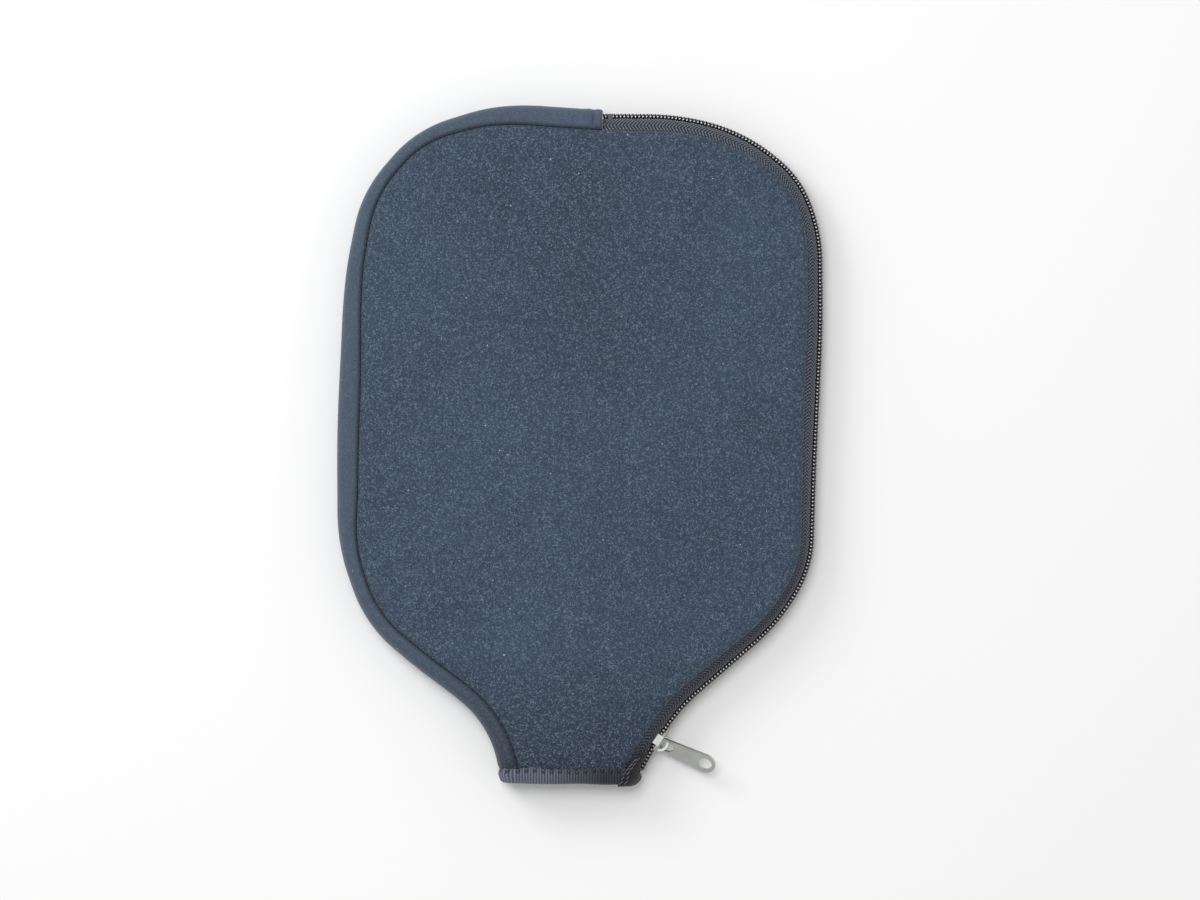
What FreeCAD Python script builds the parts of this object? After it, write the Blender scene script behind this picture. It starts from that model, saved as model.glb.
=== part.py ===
import FreeCAD, Part
import math
import os

# Soft zip-up case for a racket-sport paddle, as a parametric assembly.
# The case lies on its back panel. X runs across the case, Y from the open mouth (-Y) to the
# round top (+Y) and Z is the thickness. The origin is under the middle of the case, on the
# plane that the back panel rests on. All sizes are in millimetres.

Vector = FreeCAD.Vector
UP = Vector(0, 0, 1)

doc = FreeCAD.newDocument("PaddleCase")
sheet = doc.addObject("Spreadsheet::Sheet", "Dimensions")

# Driving dimensions. Each cell holds a plain number and has a word as its alias.
DIMENSIONS = {
    "case_thickness": 20.0,
    "panel_thickness": 3.0,
    "gusset_width": 8.4,
    "gusset_thickness": 3.0,
    "zip_width": 6.4,
    "coil_depth": 2.4,
    "coil_height": 1.9,
    "coil_gap": 1.6,
    "cord_radius": 0.5,
    "tape_thickness": 0.5,
    "tape_allowance": 6.0,
    "binding_width": 5.0,
    "binding_thickness": 1.5,
    "thread_radius": 0.22,
    "seam_chamfer": 1.2,
    "fold_gap": 0.3,
    "mouth_edge": -146.0,
    "mouth_binding_height": 7.0,
    "mouth_tongue": 1.6,
    "stop_length": 2.4,
    "slider_length": 9.6,
    "slider_width": 9.2,
    "slider_plate": 1.0,
    "slider_clearance": 0.2,
    "wedge_half_width": 0.7,
    "eye_length": 4.8,
    "eye_height": 2.8,
    "crown_wire": 0.9,
    "crown_width": 1.5,
    "pull_length": 24.6,
    "pull_width": 9.4,
    "pull_neck_width": 7.0,
    "pull_thickness": 1.0,
    "pull_hole_radius": 2.9,
    "pull_twist": 36.0,
    "pull_angle": -24.1,
}


def fill_sheet():
    for row, (alias, value) in enumerate(DIMENSIONS.items(), start=1):
        sheet.set("A%d" % row, alias)
        sheet.set("B%d" % row, str(value))
        sheet.setAlias("B%d" % row, alias)
    doc.recompute()


fill_sheet()


def size(alias):
    return float(sheet.get(alias))


# Outer edge of the case seen from the front, as corner points with the radius that rounds
# each one. Both chains start at the top, where the gusset ends and the zip begins.
GUSSET_EDGE = [
    (9.8, 144.2, 0),
    (-33.0, 147.0, 95),
    (-71.0, 135.6, 54),
    (-94.0, 109.5, 54),
    (-102.0, 66.0, 240),
    (-105.1, 2.0, 600),
    (-104.2, -42.0, 90),
    (-91.5, -77.0, 60),
    (-61.5, -103.0, 150),
    (-40.0, -122.0, 45),
    (-34.5, -150.0, 0),
]
ZIP_EDGE = [
    (9.8, 142.3, 0),
    (42.0, 142.3, 105),
    (71.0, 135.0, 75),
    (95.0, 115.5, 45),
    (104.3, 92.0, 70),
    (104.9, 52.0, 400),
    (101.4, -12.0, 900),
    (99.9, -52.0, 50),
    (86.0, -76.5, 90),
    (36.3, -119.8, 107),
    (20.0, -151.8, 0),
]
GUSSET_SIDE = 1
ZIP_SIDE = -1

# The front panel folds along a straight line between these two points when it is opened.
FOLD_TOP = Vector(9.8, 135.8, 0)
FOLD_MOUTH = Vector(-21.0, -138.6, 0)

# Distance along the zip's edge, from the mouth end of the neck curve to the slider.
SLIDER_FROM_NECK_END = 12.8

# Where the zip's parts begin at the top: the tape beside the fold, then the end stop and the
# coils. The other lengths say how far above the mouth's edge its parts end.
TAPE_FROM_FOLD = 1.2
END_STOP_X = 12.0
END_STOP_LENGTH = "2.2"
COIL_START_X = 14.4
COIL_ABOVE_MOUTH = 7.0
TAPE_ABOVE_MOUTH = 2.4
PANEL_ABOVE_MOUTH = 1.0
BINDING_ABOVE_ELASTIC = 2.0

# How far inside their seams the bindings lie, and the threads beside them.
GUSSET_BINDING_INSET = 0.6
ZIP_BINDING_INSET = 1.0
THREAD_INSET = 0.3
THREAD_SUNK = 0.42
BARELY = 0.05

# The folded end of the gusset: how far from it the stitches run, and how far round.
HEM_FROM_FOLD = 3.4
HEM_SUNK = 0.2
HEM_HALF_ANGLE = 0.85


def outward(direction, side):
    """The horizontal direction away from the case, for a chain that runs along direction."""
    return Vector(side * direction.y, -side * direction.x, 0)


def runs_of(chain, side, distance):
    """The straight runs of a chain, moved outwards by distance, as (point, direction)."""
    corners = [Vector(x, y, 0) for x, y, _ in chain]
    runs = []
    for first, last in zip(corners, corners[1:]):
        direction = (last - first).normalize()
        runs.append((first + outward(direction, side) * distance, direction))
    return runs


def crossing(run, other):
    """Where two straight runs cross."""
    (start, along), (begin, across) = run, other
    turn = along.cross(across).z
    reach = (begin - start).cross(across).z / turn
    return start + along * reach


def edges_of(chain, side, distance):
    """The edges of a chain moved outwards by distance: straight runs joined by arcs."""
    runs = runs_of(chain, side, distance)
    end_run = Vector(chain[-1][0], chain[-1][1], 0) + outward(runs[-1][1], side) * distance
    here = runs[0][0]
    edges = []
    for index in range(1, len(chain) - 1):
        before, after = runs[index - 1], runs[index]
        corner = crossing(before, after)
        turn = before[1].cross(after[1]).z
        radius = chain[index][2] + distance * math.copysign(1, turn) * side
        half = math.asin(max(-1.0, min(1.0, abs(turn)))) / 2
        reach = radius * math.tan(half)
        first = corner - before[1] * reach
        last = corner + after[1] * reach
        middle = corner + (after[1] - before[1]).normalize() * (radius / math.cos(half) - radius)
        edges.append(Part.LineSegment(here, first).toShape())
        edges.append(Part.Arc(first, middle, last).toShape())
        here = last
    edges.append(Part.LineSegment(here, end_run).toShape())
    return edges


def profile(points, chain, side):
    """A closed section across a chain's start. Each point is (outward, height), and a
    point with a third value is the middle of an arc to the next point."""
    first = Vector(chain[0][0], chain[0][1], 0)
    direction = (Vector(chain[1][0], chain[1][1], 0) - first).normalize()
    away = outward(direction, side)
    places = [first + away * point[0] + UP * point[1] for point in points]
    edges = []
    count = len(points)
    index = 0
    while index < count:
        following = (index + 1) % count
        if len(points[following]) == 3:
            beyond = (index + 2) % count
            edges.append(Part.Arc(places[index], places[following], places[beyond]).toShape())
            index += 2
        else:
            edges.append(Part.LineSegment(places[index], places[following]).toShape())
            index += 1
    return Part.Wire(edges)


def swept(points, chain, side):
    """A solid of one section carried along a whole chain."""
    spine = Part.Wire(edges_of(chain, side, 0))
    return spine.makePipeShell([profile(points, chain, side)], True, False)


def circle_swept(away, height, radius, chain, side):
    """A round cord carried along a chain, at a distance outwards from it."""
    first = Vector(chain[0][0], chain[0][1], 0)
    direction = (Vector(chain[1][0], chain[1][1], 0) - first).normalize()
    centre = first + outward(direction, side) * away + UP * height
    ring = Part.Wire([Part.Circle(centre, direction, radius).toShape()])
    spine = Part.Wire(edges_of(chain, side, 0))
    return spine.makePipeShell([ring], True, False)


def slab(x_low, x_high, y_low, y_high, z_low, z_high):
    """A box between two corners."""
    corner = Vector(x_low, y_low, z_low)
    return Part.makeBox(x_high - x_low, y_high - y_low, z_high - z_low, corner)


def below(y_high):
    """Everything beyond the mouth, below a line across the case."""
    return slab(-200, 200, -200, y_high, -5, 40)


def put(label, shape):
    """A sub-part whose shape is set from the sheet's sizes."""
    feature = doc.addObject("Part::Feature", label)
    feature.Label = label
    feature.Shape = shape
    feature.Placement = FreeCAD.Placement()
    return feature


def bound(item, **expressions):
    """Binds an object's sizes to the sheet."""
    for name, expression in expressions.items():
        item.setExpression(name, expression)
    return item


def plane_of(body, role):
    return next(item for item in body.Origin.OriginFeatures if item.Role == role)


def sketch_on(body, role, name, edges, offset=0.0):
    """A sketch of the given edges on one of a body's own origin planes."""
    sketch = body.newObject("Sketcher::SketchObject", name)
    sketch.AttachmentSupport = [(plane_of(body, role), "")]
    sketch.MapMode = "FlatFace"
    sketch.AttachmentOffset = FreeCAD.Placement(Vector(0, 0, offset), FreeCAD.Rotation())
    for edge in edges:
        sketch.addGeometry(edge, False)
    return sketch


def lines_through(points):
    """Straight lines round a closed outline."""
    places = [Vector(x, y, 0) for x, y in points]
    return [Part.LineSegment(a, b) for a, b in zip(places, places[1:] + places[:1])]


def padded(body, sketch, name, length):
    """A pad whose length is an expression of the sheet."""
    pad = body.newObject("PartDesign::Pad", name)
    pad.Profile = sketch
    pad.setExpression("Length", length)
    return pad


def curves(edges):
    """A shape's edges as sketch geometry."""
    found = []
    for edge in edges:
        first = edge.valueAt(edge.FirstParameter)
        last = edge.valueAt(edge.LastParameter)
        if isinstance(edge.Curve, Part.Circle):
            middle = edge.valueAt((edge.FirstParameter + edge.LastParameter) / 2)
            found.append(Part.Arc(first, middle, last))
        else:
            found.append(Part.LineSegment(first, last))
    return found


def seam_wires():
    """The two seams between the panels and the gusset or the zip."""
    left = edges_of(GUSSET_EDGE, GUSSET_SIDE, -size("gusset_width"))
    right = edges_of(ZIP_EDGE, ZIP_SIDE, -size("zip_width"))
    return left, right


def panel_face(parts):
    """A flat face inside both seams and above the mouth, or one side of it."""
    left, right = seam_wires()
    left_end = left[-1].valueAt(left[-1].LastParameter)
    right_end = right[-1].valueAt(right[-1].LastParameter)
    top_left = left[0].valueAt(left[0].FirstParameter)
    top_right = right[0].valueAt(right[0].FirstParameter)
    joins = [Part.LineSegment(left_end, right_end).toShape()]
    if (top_left - top_right).Length > 1e-6:
        joins.append(Part.LineSegment(top_left, top_right).toShape())
    wire = Part.Wire(Part.__sortEdges__(left + right + joins))
    face = Part.Face(wire).cut(below(size("mouth_edge") + PANEL_ABOVE_MOUTH))
    if parts == "whole":
        return face.Faces[0]
    along = (FOLD_MOUTH - FOLD_TOP).normalize()
    across = along.cross(UP) * -1
    gap = size("fold_gap") / 2
    sign = 1 if parts == "flap" else -1
    beyond, wide = 60, 260
    start = FOLD_TOP - along * beyond + across * gap * sign
    end = FOLD_MOUTH + along * beyond + across * gap * sign
    far = across * wide * sign
    half = Part.Face(Part.makePolygon([start, end, end + far, start + far, start]))
    return face.common(half).Faces[0]


def mouth_channel(x_low, x_high, z_low):
    """A folded binding round a panel's edge at the mouth, with a slot for the edge."""
    top = size("mouth_edge") + size("mouth_binding_height")
    thick = size("panel_thickness")
    tongue = size("mouth_tongue")
    low = size("mouth_edge")
    outer = slab(x_low, x_high, low, top, z_low, z_low + thick)
    slot_low = z_low + (thick - tongue) / 2
    slot_high = slot_low + tongue
    slot = slab(x_low - 1, x_high + 1, low + PANEL_ABOVE_MOUTH, top + 1, slot_low, slot_high)
    return outer.cut(slot)


def mouth_limits():
    """Where the panels' seams reach the top of the mouth's binding, left and right."""
    top = size("mouth_edge") + size("mouth_binding_height")
    found = []
    for edges in seam_wires():
        last = edges[-1]
        first, end = last.valueAt(last.FirstParameter), last.valueAt(last.LastParameter)
        share = (top - first.y) / (end.y - first.y)
        found.append(first.x + (end.x - first.x) * share)
    return found


def fold_x(y_place):
    """Where the fold line crosses a given height of the case."""
    share = (y_place - FOLD_TOP.y) / (FOLD_MOUTH.y - FOLD_TOP.y)
    return FOLD_TOP.x + (FOLD_MOUTH.x - FOLD_TOP.x) * share


def groove_section(seam, level, inwards):
    """The corner that a sewn seam pulls down along a panel's edge."""
    cut = size("seam_chamfer")
    over = 0.3
    return [
        (seam - cut - over, level - inwards * over),
        (seam + over, level - inwards * over),
        (seam + over, level + inwards * (cut + over)),
    ]


def make_panel(label, parts, base, chamfer_high):
    """A neoprene panel: cut to its outline, its sewn edge rounded off and its mouth edge
    pressed thin where the binding holds it."""
    thick = size("panel_thickness")
    body = doc.addObject("PartDesign::Body", label + "_blank")
    face = panel_face(parts)
    sketch = sketch_on(body, "XY_Plane", label + "_outline", curves(face.OuterWire.Edges))
    sketch.setExpression(".AttachmentOffset.Base.z", base)
    padded(body, sketch, label + "_pad", "Dimensions.panel_thickness")
    doc.recompute()
    solid = body.Shape.copy()
    bottom = solid.BoundBox.ZMin
    level = bottom + thick if chamfer_high else bottom
    inwards = -1 if chamfer_high else 1
    seams = ((GUSSET_EDGE, GUSSET_SIDE, "gusset_width"), (ZIP_EDGE, ZIP_SIDE, "zip_width"))
    for chain, side, width in seams:
        solid = solid.cut(swept(groove_section(-size(width), level, inwards), chain, side))
    top = size("mouth_edge") + size("mouth_binding_height")
    tongue = size("mouth_tongue")
    low = bottom + (thick - tongue) / 2
    solid = solid.cut(slab(-200, 200, -200, top, bottom - 1, low))
    solid = solid.cut(slab(-200, 200, -200, top, low + tongue, bottom + thick + 1))
    return put(label, solid)


def make_gusset():
    """The neoprene band that goes round the closed side, from seam to seam."""
    high = size("case_thickness")
    width = size("gusset_width")
    wall = size("gusset_thickness")
    section = [
        (-width, high),
        (0, high / 2, "arc"),
        (-width, 0),
        (-width, wall),
        (-wall, high / 2, "arc"),
        (-width, high - wall),
    ]
    band = swept(section, GUSSET_EDGE, GUSSET_SIDE)
    trimmed = band.cut(below(size("mouth_edge") + size("mouth_binding_height")))
    return put("side_gusset", trimmed)


def make_bindings():
    """Nylon strips that bind the raw seam edges inside the case."""
    high = size("case_thickness") - size("panel_thickness")
    low = size("panel_thickness")
    thick = size("binding_thickness")
    wide = size("binding_width")
    trim = below(size("mouth_edge") + size("mouth_binding_height") + BINDING_ABOVE_ELASTIC)
    seam = -size("gusset_width") - GUSSET_BINDING_INSET
    for label, top in (("gusset_binding_front", high), ("gusset_binding_back", low + thick)):
        section = [(seam, top), (seam, top - thick), (seam - wide, top - thick), (seam - wide, top)]
        put(label, swept(section, GUSSET_EDGE, GUSSET_SIDE).cut(trim))
    seam = -size("zip_width") - ZIP_BINDING_INSET
    tape = size("tape_thickness")
    front_top, back_top = high - tape, low + tape + thick
    for label, top in (("zip_binding_front", front_top), ("zip_binding_back", back_top)):
        section = [(seam, top), (seam, top - thick), (seam - wide, top - thick), (seam - wide, top)]
        put(label, swept(section, ZIP_EDGE, ZIP_SIDE).cut(trim).cut(hinge_keepout()))


def hinge_keepout():
    """The first millimetre of the zip beside the gusset's end, where the front folds."""
    return slab(-20, FOLD_TOP.x + TAPE_FROM_FOLD, 100, 200, -5, 40)


def tape_section(upper):
    """A woven tape from under the panel, round the edge and down to the coil."""
    high = size("case_thickness")
    tape = size("tape_thickness")
    top = high - size("panel_thickness")
    face = -size("coil_depth") - BARELY
    bend = -size("zip_width") + 0.35
    radius = face - bend
    knee = top - radius
    inner = radius - tape
    diagonal = math.sqrt(0.5)
    end = -size("zip_width") - size("tape_allowance")
    start = high / 2 + size("coil_gap") / 2
    points = [
        (face, start),
        (face, knee),
        (bend + radius * diagonal, knee + radius * diagonal, "arc"),
        (bend, top),
        (end, top),
        (end, top - tape),
        (bend, top - tape),
        (bend + inner * diagonal, knee + inner * diagonal, "arc"),
        (face - tape, knee),
        (face - tape, start),
    ]
    if upper:
        return points
    return [(point[0], high - point[1]) + tuple(point[2:]) for point in points]


def make_tapes():
    trim = below(size("mouth_edge") + TAPE_ABOVE_MOUTH)
    for label, upper in (("zip_tape_front", True), ("zip_tape_back", False)):
        solid = swept(tape_section(upper), ZIP_EDGE, ZIP_SIDE)
        put(label, solid.cut(trim).cut(hinge_keepout()))


def coil_middle(upper):
    offset = (size("coil_gap") + size("coil_height")) / 2
    half = size("case_thickness") / 2
    return half + offset if upper else half - offset


def make_coils():
    """Each row of zip coil, as the bar that the sewn part of its turns fills, with the cord
    in its middle. The turns' heads mesh in the gap that the slider's wedge runs through."""
    deep = size("coil_depth")
    tall = size("coil_height")
    top_end = slab(-20, COIL_START_X, 100, 200, -5, 40)
    trim = below(size("mouth_edge") + COIL_ABOVE_MOUTH).fuse(top_end)
    for name, upper in (("front", True), ("back", False)):
        middle = coil_middle(upper)
        low, top = middle - tall / 2, middle + tall / 2
        section = [(0, low), (0, top), (-deep, top), (-deep, low)]
        bar = swept(section, ZIP_EDGE, ZIP_SIDE)
        hole = circle_swept(-deep / 2, middle, size("cord_radius") + 0.02, ZIP_EDGE, ZIP_SIDE)
        cord = circle_swept(-deep / 2, middle, size("cord_radius"), ZIP_EDGE, ZIP_SIDE)
        put("zip_coil_" + name, bar.cut(hole).cut(trim))
        put("coil_cord_" + name, cord.cut(trim))


def neck_frame(distance):
    """Place, direction towards the top and outward direction on the zip's neck curve,
    at a distance along it from its mouth end."""
    edges = edges_of(ZIP_EDGE, ZIP_SIDE, 0)
    arc = edges[-2]
    centre = arc.Curve.Center
    end = arc.valueAt(arc.LastParameter)
    other = arc.valueAt(arc.FirstParameter)
    radius = arc.Curve.Radius
    sense = math.copysign(1, (end - centre).cross(other - centre).z)
    turned = FreeCAD.Rotation(UP, math.degrees(sense * distance / radius))
    spoke = turned.multVec(end - centre)
    tangent = UP.cross(spoke).normalize() * sense
    away = spoke * (-1 / radius)
    middle = UP * (size("case_thickness") / 2)
    return centre + spoke + middle, tangent, away


def straight_frame(distance):
    """Place, direction and outward direction on the zip's straight end at the mouth,
    at a distance from the neck curve."""
    last = edges_of(ZIP_EDGE, ZIP_SIDE, 0)[-1]
    first, end = last.valueAt(last.FirstParameter), last.valueAt(last.LastParameter)
    direction = (end - first).normalize()
    return first + direction * distance, direction, outward(direction, ZIP_SIDE)


def placed(place, x_way, y_way):
    """A Placement whose own X and Y axes lie along two given directions."""
    rotation = FreeCAD.Rotation(x_way, y_way, x_way.cross(y_way), "XYZ")
    return FreeCAD.Placement(place, rotation)


def make_stops():
    """The stop that joins both rows at the top end, and one on each row at the mouth."""
    wide = size("coil_depth")
    stop = bound(
        doc.addObject("Part::Box", "zip_end_stop"),
        Length=END_STOP_LENGTH,
        Width="Dimensions.coil_depth",
        Height="2 * Dimensions.coil_height + Dimensions.coil_gap",
    )
    low = coil_middle(False) - size("coil_height") / 2
    corner = Vector(END_STOP_X, ZIP_EDGE[0][1] - wide, low)
    stop.Placement = FreeCAD.Placement(corner, FreeCAD.Rotation())
    end, run, _ = straight_frame(0)
    coil_end = (end.y - size("mouth_edge") - COIL_ABOVE_MOUTH) / -run.y
    after_coil = 1.2
    for name, upper in (("front", True), ("back", False)):
        item = bound(
            doc.addObject("Part::Box", "zip_top_stop_" + name),
            Length="Dimensions.stop_length",
            Width="Dimensions.coil_depth",
            Height="Dimensions.coil_height",
        )
        place, direction, away = straight_frame(coil_end + after_coil)
        base = coil_middle(upper) - size("coil_height") / 2
        corner = place - away * wide + UP * base
        item.Placement = placed(corner, direction, away)


def slider_depth():
    """The space between the slider's plates, which holds the coil and the tape."""
    held = size("coil_depth") + size("tape_thickness") + BARELY
    return held + 2 * size("slider_clearance")


def slider_place():
    """The slider's place on the zip: its own X runs towards the top and its Z outwards."""
    place, tangent, away = neck_frame(SLIDER_FROM_NECK_END)
    across = away.cross(tangent)
    return placed(place + away * size("slider_clearance"), tangent, across)


def make_slider():
    """The die-cast slider: two plates either side of the coils, lips that guide the tapes,
    the wedge that parts the coils, and the arched crown that holds the pull. Its outlines
    are given as shares of its half length and half width."""
    body = doc.addObject("PartDesign::Body", "slider_body")
    long = size("slider_length") / 2
    wide = size("slider_width") / 2
    deep = slider_depth()
    lip_gap, lip_wall, narrower = 1.25, 0.75, 0.7
    lip_low = lip_gap - deep
    waist = wide * 0.8
    shoulder = -long * 0.35
    plates = (("outer", 0.0, 0.0), ("inner", -deep - size("slider_plate"), narrower))
    for name, low, narrow in plates:
        half = [
            (long, wide * 0.62 - narrow),
            (long * 0.62, waist - narrow),
            (shoulder, wide - narrow),
            (-long * 0.82, wide * 0.86 - narrow),
            (-long, wide * 0.5 - narrow),
        ]
        outline = half + [(x, -y) for x, y in reversed(half)]
        sketch = sketch_on(body, "XY_Plane", name + "_plate_outline", lines_through(outline), low)
        padded(body, sketch, name + "_plate", "Dimensions.slider_plate")
    thin = size("wedge_half_width")
    wedge = [(-long * 0.2, 0.0), (-long * 0.6, thin), (-long, 0.0), (-long * 0.6, -thin)]
    post = sketch_on(body, "XY_Plane", "wedge_outline", lines_through(wedge), -deep)
    padded(body, post, "wedge", "%s mm" % deep)
    for name, sign in (("upper", 1), ("lower", -1)):
        lip = [
            (long * 0.62, sign * (waist - lip_wall)),
            (shoulder, sign * (wide - lip_wall)),
            (shoulder, sign * wide),
            (long * 0.62, sign * waist),
        ]
        rim = sketch_on(body, "XY_Plane", name + "_lip_outline", lines_through(lip), lip_low)
        padded(body, rim, name + "_lip", "%s mm" % -lip_low)
    eye = size("eye_length") / 2
    arch = crown_outline(eye, size("eye_height"), size("crown_wire"), size("slider_plate"))
    crown = sketch_on(body, "XZ_Plane", "crown_outline", arch)
    pad = padded(body, crown, "crown", "Dimensions.crown_width")
    pad.Midplane = True
    doc.recompute()
    body.Placement = slider_place()
    return body


def crown_outline(eye, height, wire, plate):
    """The crown's arch: two legs, rooted in the outer plate, joined by a round bridge."""
    root, leg_share = 0.2, 0.6
    foot = plate - root
    leg = height * leg_share
    inside = [
        Vector(-eye, foot, 0),
        Vector(-eye, plate + leg, 0),
        Vector(0, plate + height, 0),
        Vector(eye, plate + leg, 0),
        Vector(eye, foot, 0),
    ]
    outside = [
        Vector(eye + wire, foot, 0),
        Vector(eye + wire, plate + leg, 0),
        Vector(0, plate + height + wire, 0),
        Vector(-eye - wire, plate + leg, 0),
        Vector(-eye - wire, foot, 0),
    ]
    return [
        Part.LineSegment(inside[0], inside[1]),
        Part.Arc(inside[1], inside[2], inside[3]),
        Part.LineSegment(inside[3], inside[4]),
        Part.LineSegment(inside[4], outside[0]),
        Part.LineSegment(outside[0], outside[1]),
        Part.Arc(outside[1], outside[2], outside[3]),
        Part.LineSegment(outside[3], outside[4]),
        Part.LineSegment(outside[4], inside[0]),
    ]


def pull_place():
    """Where the pull hangs: its own X runs along it, and its own Y along its end bar."""
    place, _, away = neck_frame(SLIDER_FROM_NECK_END)
    eye_share = 0.48
    lift = size("slider_clearance") + size("slider_plate") + size("eye_height") * eye_share
    pivot = place + away * lift
    angle = math.radians(size("pull_angle"))
    along = Vector(math.cos(angle), math.sin(angle), 0)
    level = UP.cross(along)
    twist = math.radians(size("pull_twist"))
    bar = level * math.cos(twist) + UP * math.sin(twist)
    return placed(pivot, along, bar)


def make_pull():
    """The flat pull: an end bar and window that hang on the crown, and a round hole."""
    body = doc.addObject("PartDesign::Body", "slider_pull")
    half = size("pull_neck_width") / 2
    wide = size("pull_width") / 2
    length = size("pull_length")
    bar, corner, knuckle = 0.45, 0.6, 0.18
    side_wall, window_shoulder, window_point = 0.75, 4.4, 5.4
    hole_shift = 0.3
    centre = length - wide
    left, right = Vector(0, half, 0), Vector(0, -half, 0)
    left_end, right_end = Vector(-bar, half - corner, 0), Vector(-bar, corner - half, 0)
    left_knuckle = Vector(knuckle - bar, half - knuckle, 0)
    right_knuckle = Vector(knuckle - bar, knuckle - half, 0)
    wide_left, wide_right = Vector(centre, wide, 0), Vector(centre, -wide, 0)
    outline = [
        Part.Arc(left_end, left_knuckle, left),
        Part.LineSegment(left, wide_left),
        Part.Arc(wide_left, Vector(length, 0, 0), wide_right),
        Part.LineSegment(wide_right, right),
        Part.Arc(right, right_knuckle, right_end),
        Part.LineSegment(right_end, left_end),
    ]
    window_half = half - side_wall
    narrow = window_half * 0.75
    window = lines_through(
        [
            (bar, -window_half),
            (bar, window_half),
            (window_shoulder, narrow),
            (window_point, 0),
            (window_shoulder, -narrow),
        ]
    )
    hole = [Part.Circle(Vector(centre + hole_shift, 0, 0), UP, size("pull_hole_radius"))]
    sketch = sketch_on(body, "XY_Plane", "pull_outline", outline + window + hole)
    pad = padded(body, sketch, "pull_plate", "Dimensions.pull_thickness")
    pad.Midplane = True
    doc.recompute()
    body.Placement = pull_place()
    return body


def make_threads():
    """Sewing thread, lying in the grooves of the seams it closes."""
    high = size("case_thickness")
    radius = size("thread_radius")
    trim = below(size("mouth_edge") + size("mouth_binding_height"))
    seam = -size("gusset_width") - THREAD_INSET
    levels = (("gusset_thread_front", high - THREAD_SUNK), ("gusset_thread_back", THREAD_SUNK))
    for label, level in levels:
        put(label, circle_swept(seam, level, radius, GUSSET_EDGE, GUSSET_SIDE).cut(trim))
    seam = -size("zip_width") + THREAD_INSET
    level = high - size("panel_thickness") + radius
    keepout = hinge_keepout()
    for label, place in (("zip_thread_front", level), ("zip_thread_back", high - level)):
        solid = circle_swept(seam, place, radius, ZIP_EDGE, ZIP_SIDE)
        put(label, solid.cut(trim).cut(keepout))
    arc = hem_arc()
    first = arc.FirstParameter
    ring = Part.Wire([Part.Circle(arc.valueAt(first), arc.tangentAt(first), radius).toShape()])
    put("hem_thread", Part.Wire([arc]).makePipeShell([ring], True, False))


def hem_arc():
    """The line of stitches across the gusset's folded end."""
    high = size("case_thickness")
    width = size("gusset_width")
    radius = (width**2 + (high / 2) ** 2) / (2 * width)
    edge = GUSSET_EDGE[0][1]
    centre = Vector(FOLD_TOP.x - HEM_FROM_FOLD, edge - radius + HEM_SUNK, high / 2)
    reach = radius + size("thread_radius") + BARELY
    circle = Part.Circle(centre, Vector(1, 0, 0), reach)
    along, rise = reach * math.cos(HEM_HALF_ANGLE), reach * math.sin(HEM_HALF_ANGLE)
    first = circle.parameter(centre + Vector(0, along, -rise))
    last = circle.parameter(centre + Vector(0, along, rise))
    return Part.ArcOfCircle(circle, first, last).toShape()


def make_mouth_bindings():
    """The ribbed elastic folded over the mouth's edge. Its front part moves with the front
    panel, and the rest goes round the gusset's end and along the back panel."""
    high = size("case_thickness")
    thick = size("panel_thickness")
    top = size("mouth_edge") + size("mouth_binding_height")
    left, right = mouth_limits()
    from_top, from_end, gap = 1.6, 0.6, 0.3
    fold = fold_x(top - thick)
    radius = size("thread_radius")
    line = top - from_top
    sideways = Vector(1, 0, 0)
    front_place = Vector(fold + from_end, line, high - radius)
    front_length = right - fold - 2 * from_end
    front_thread = Part.makeCylinder(radius, front_length, front_place, sideways)
    front = mouth_channel(fold + gap, right - gap, high - thick)
    put("mouth_binding_front", front.cut(front_thread))
    put("mouth_thread_front", front_thread)
    back_place = Vector(left + from_end, line, radius)
    back_length = right - left - 2 * from_end
    back_thread = Part.makeCylinder(radius, back_length, back_place, sideways)
    back = mouth_channel(left, right - gap, 0)
    stub = mouth_channel(left, fold - gap, high - thick)
    wall = size("gusset_thickness")
    stretch = 0.6
    width = size("gusset_width") + stretch
    edge = left + gap
    corners = [Vector(edge, top, z) for z in (high, high - wall, wall, 0)]
    outermost = Vector(edge - width, top, high / 2)
    innermost = Vector(edge - width + wall + stretch, top, high / 2)
    outer = Part.Arc(corners[0], outermost, corners[3])
    inner = Part.Arc(corners[2], innermost, corners[1])
    low = Part.LineSegment(corners[3], corners[2])
    upper = Part.LineSegment(corners[1], corners[0])
    loop = Part.Wire([part.toShape() for part in (outer, low, inner, upper)])
    section = Part.Face(loop)
    wrap = section.extrude(Vector(0, -size("mouth_binding_height"), 0))
    whole = wrap.fuse([back, stub]).removeSplitter()
    for label in ("back_panel", "front_panel_fixed"):
        whole = whole.cut(doc.getObjectsByLabel(label)[0].Shape)
    put("mouth_binding_back", whole.cut(back_thread))
    put("mouth_thread_back", back_thread)


FRONT_BASE = "Dimensions.case_thickness - Dimensions.panel_thickness"
make_panel("back_panel", "whole", "0", False)
make_panel("front_panel_fixed", "fixed", FRONT_BASE, True)
make_panel("front_panel_flap", "flap", FRONT_BASE, True)
make_gusset()
make_bindings()
make_tapes()
make_coils()
make_stops()
make_slider()
make_pull()
make_mouth_bindings()
make_threads()
doc.recompute()

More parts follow.
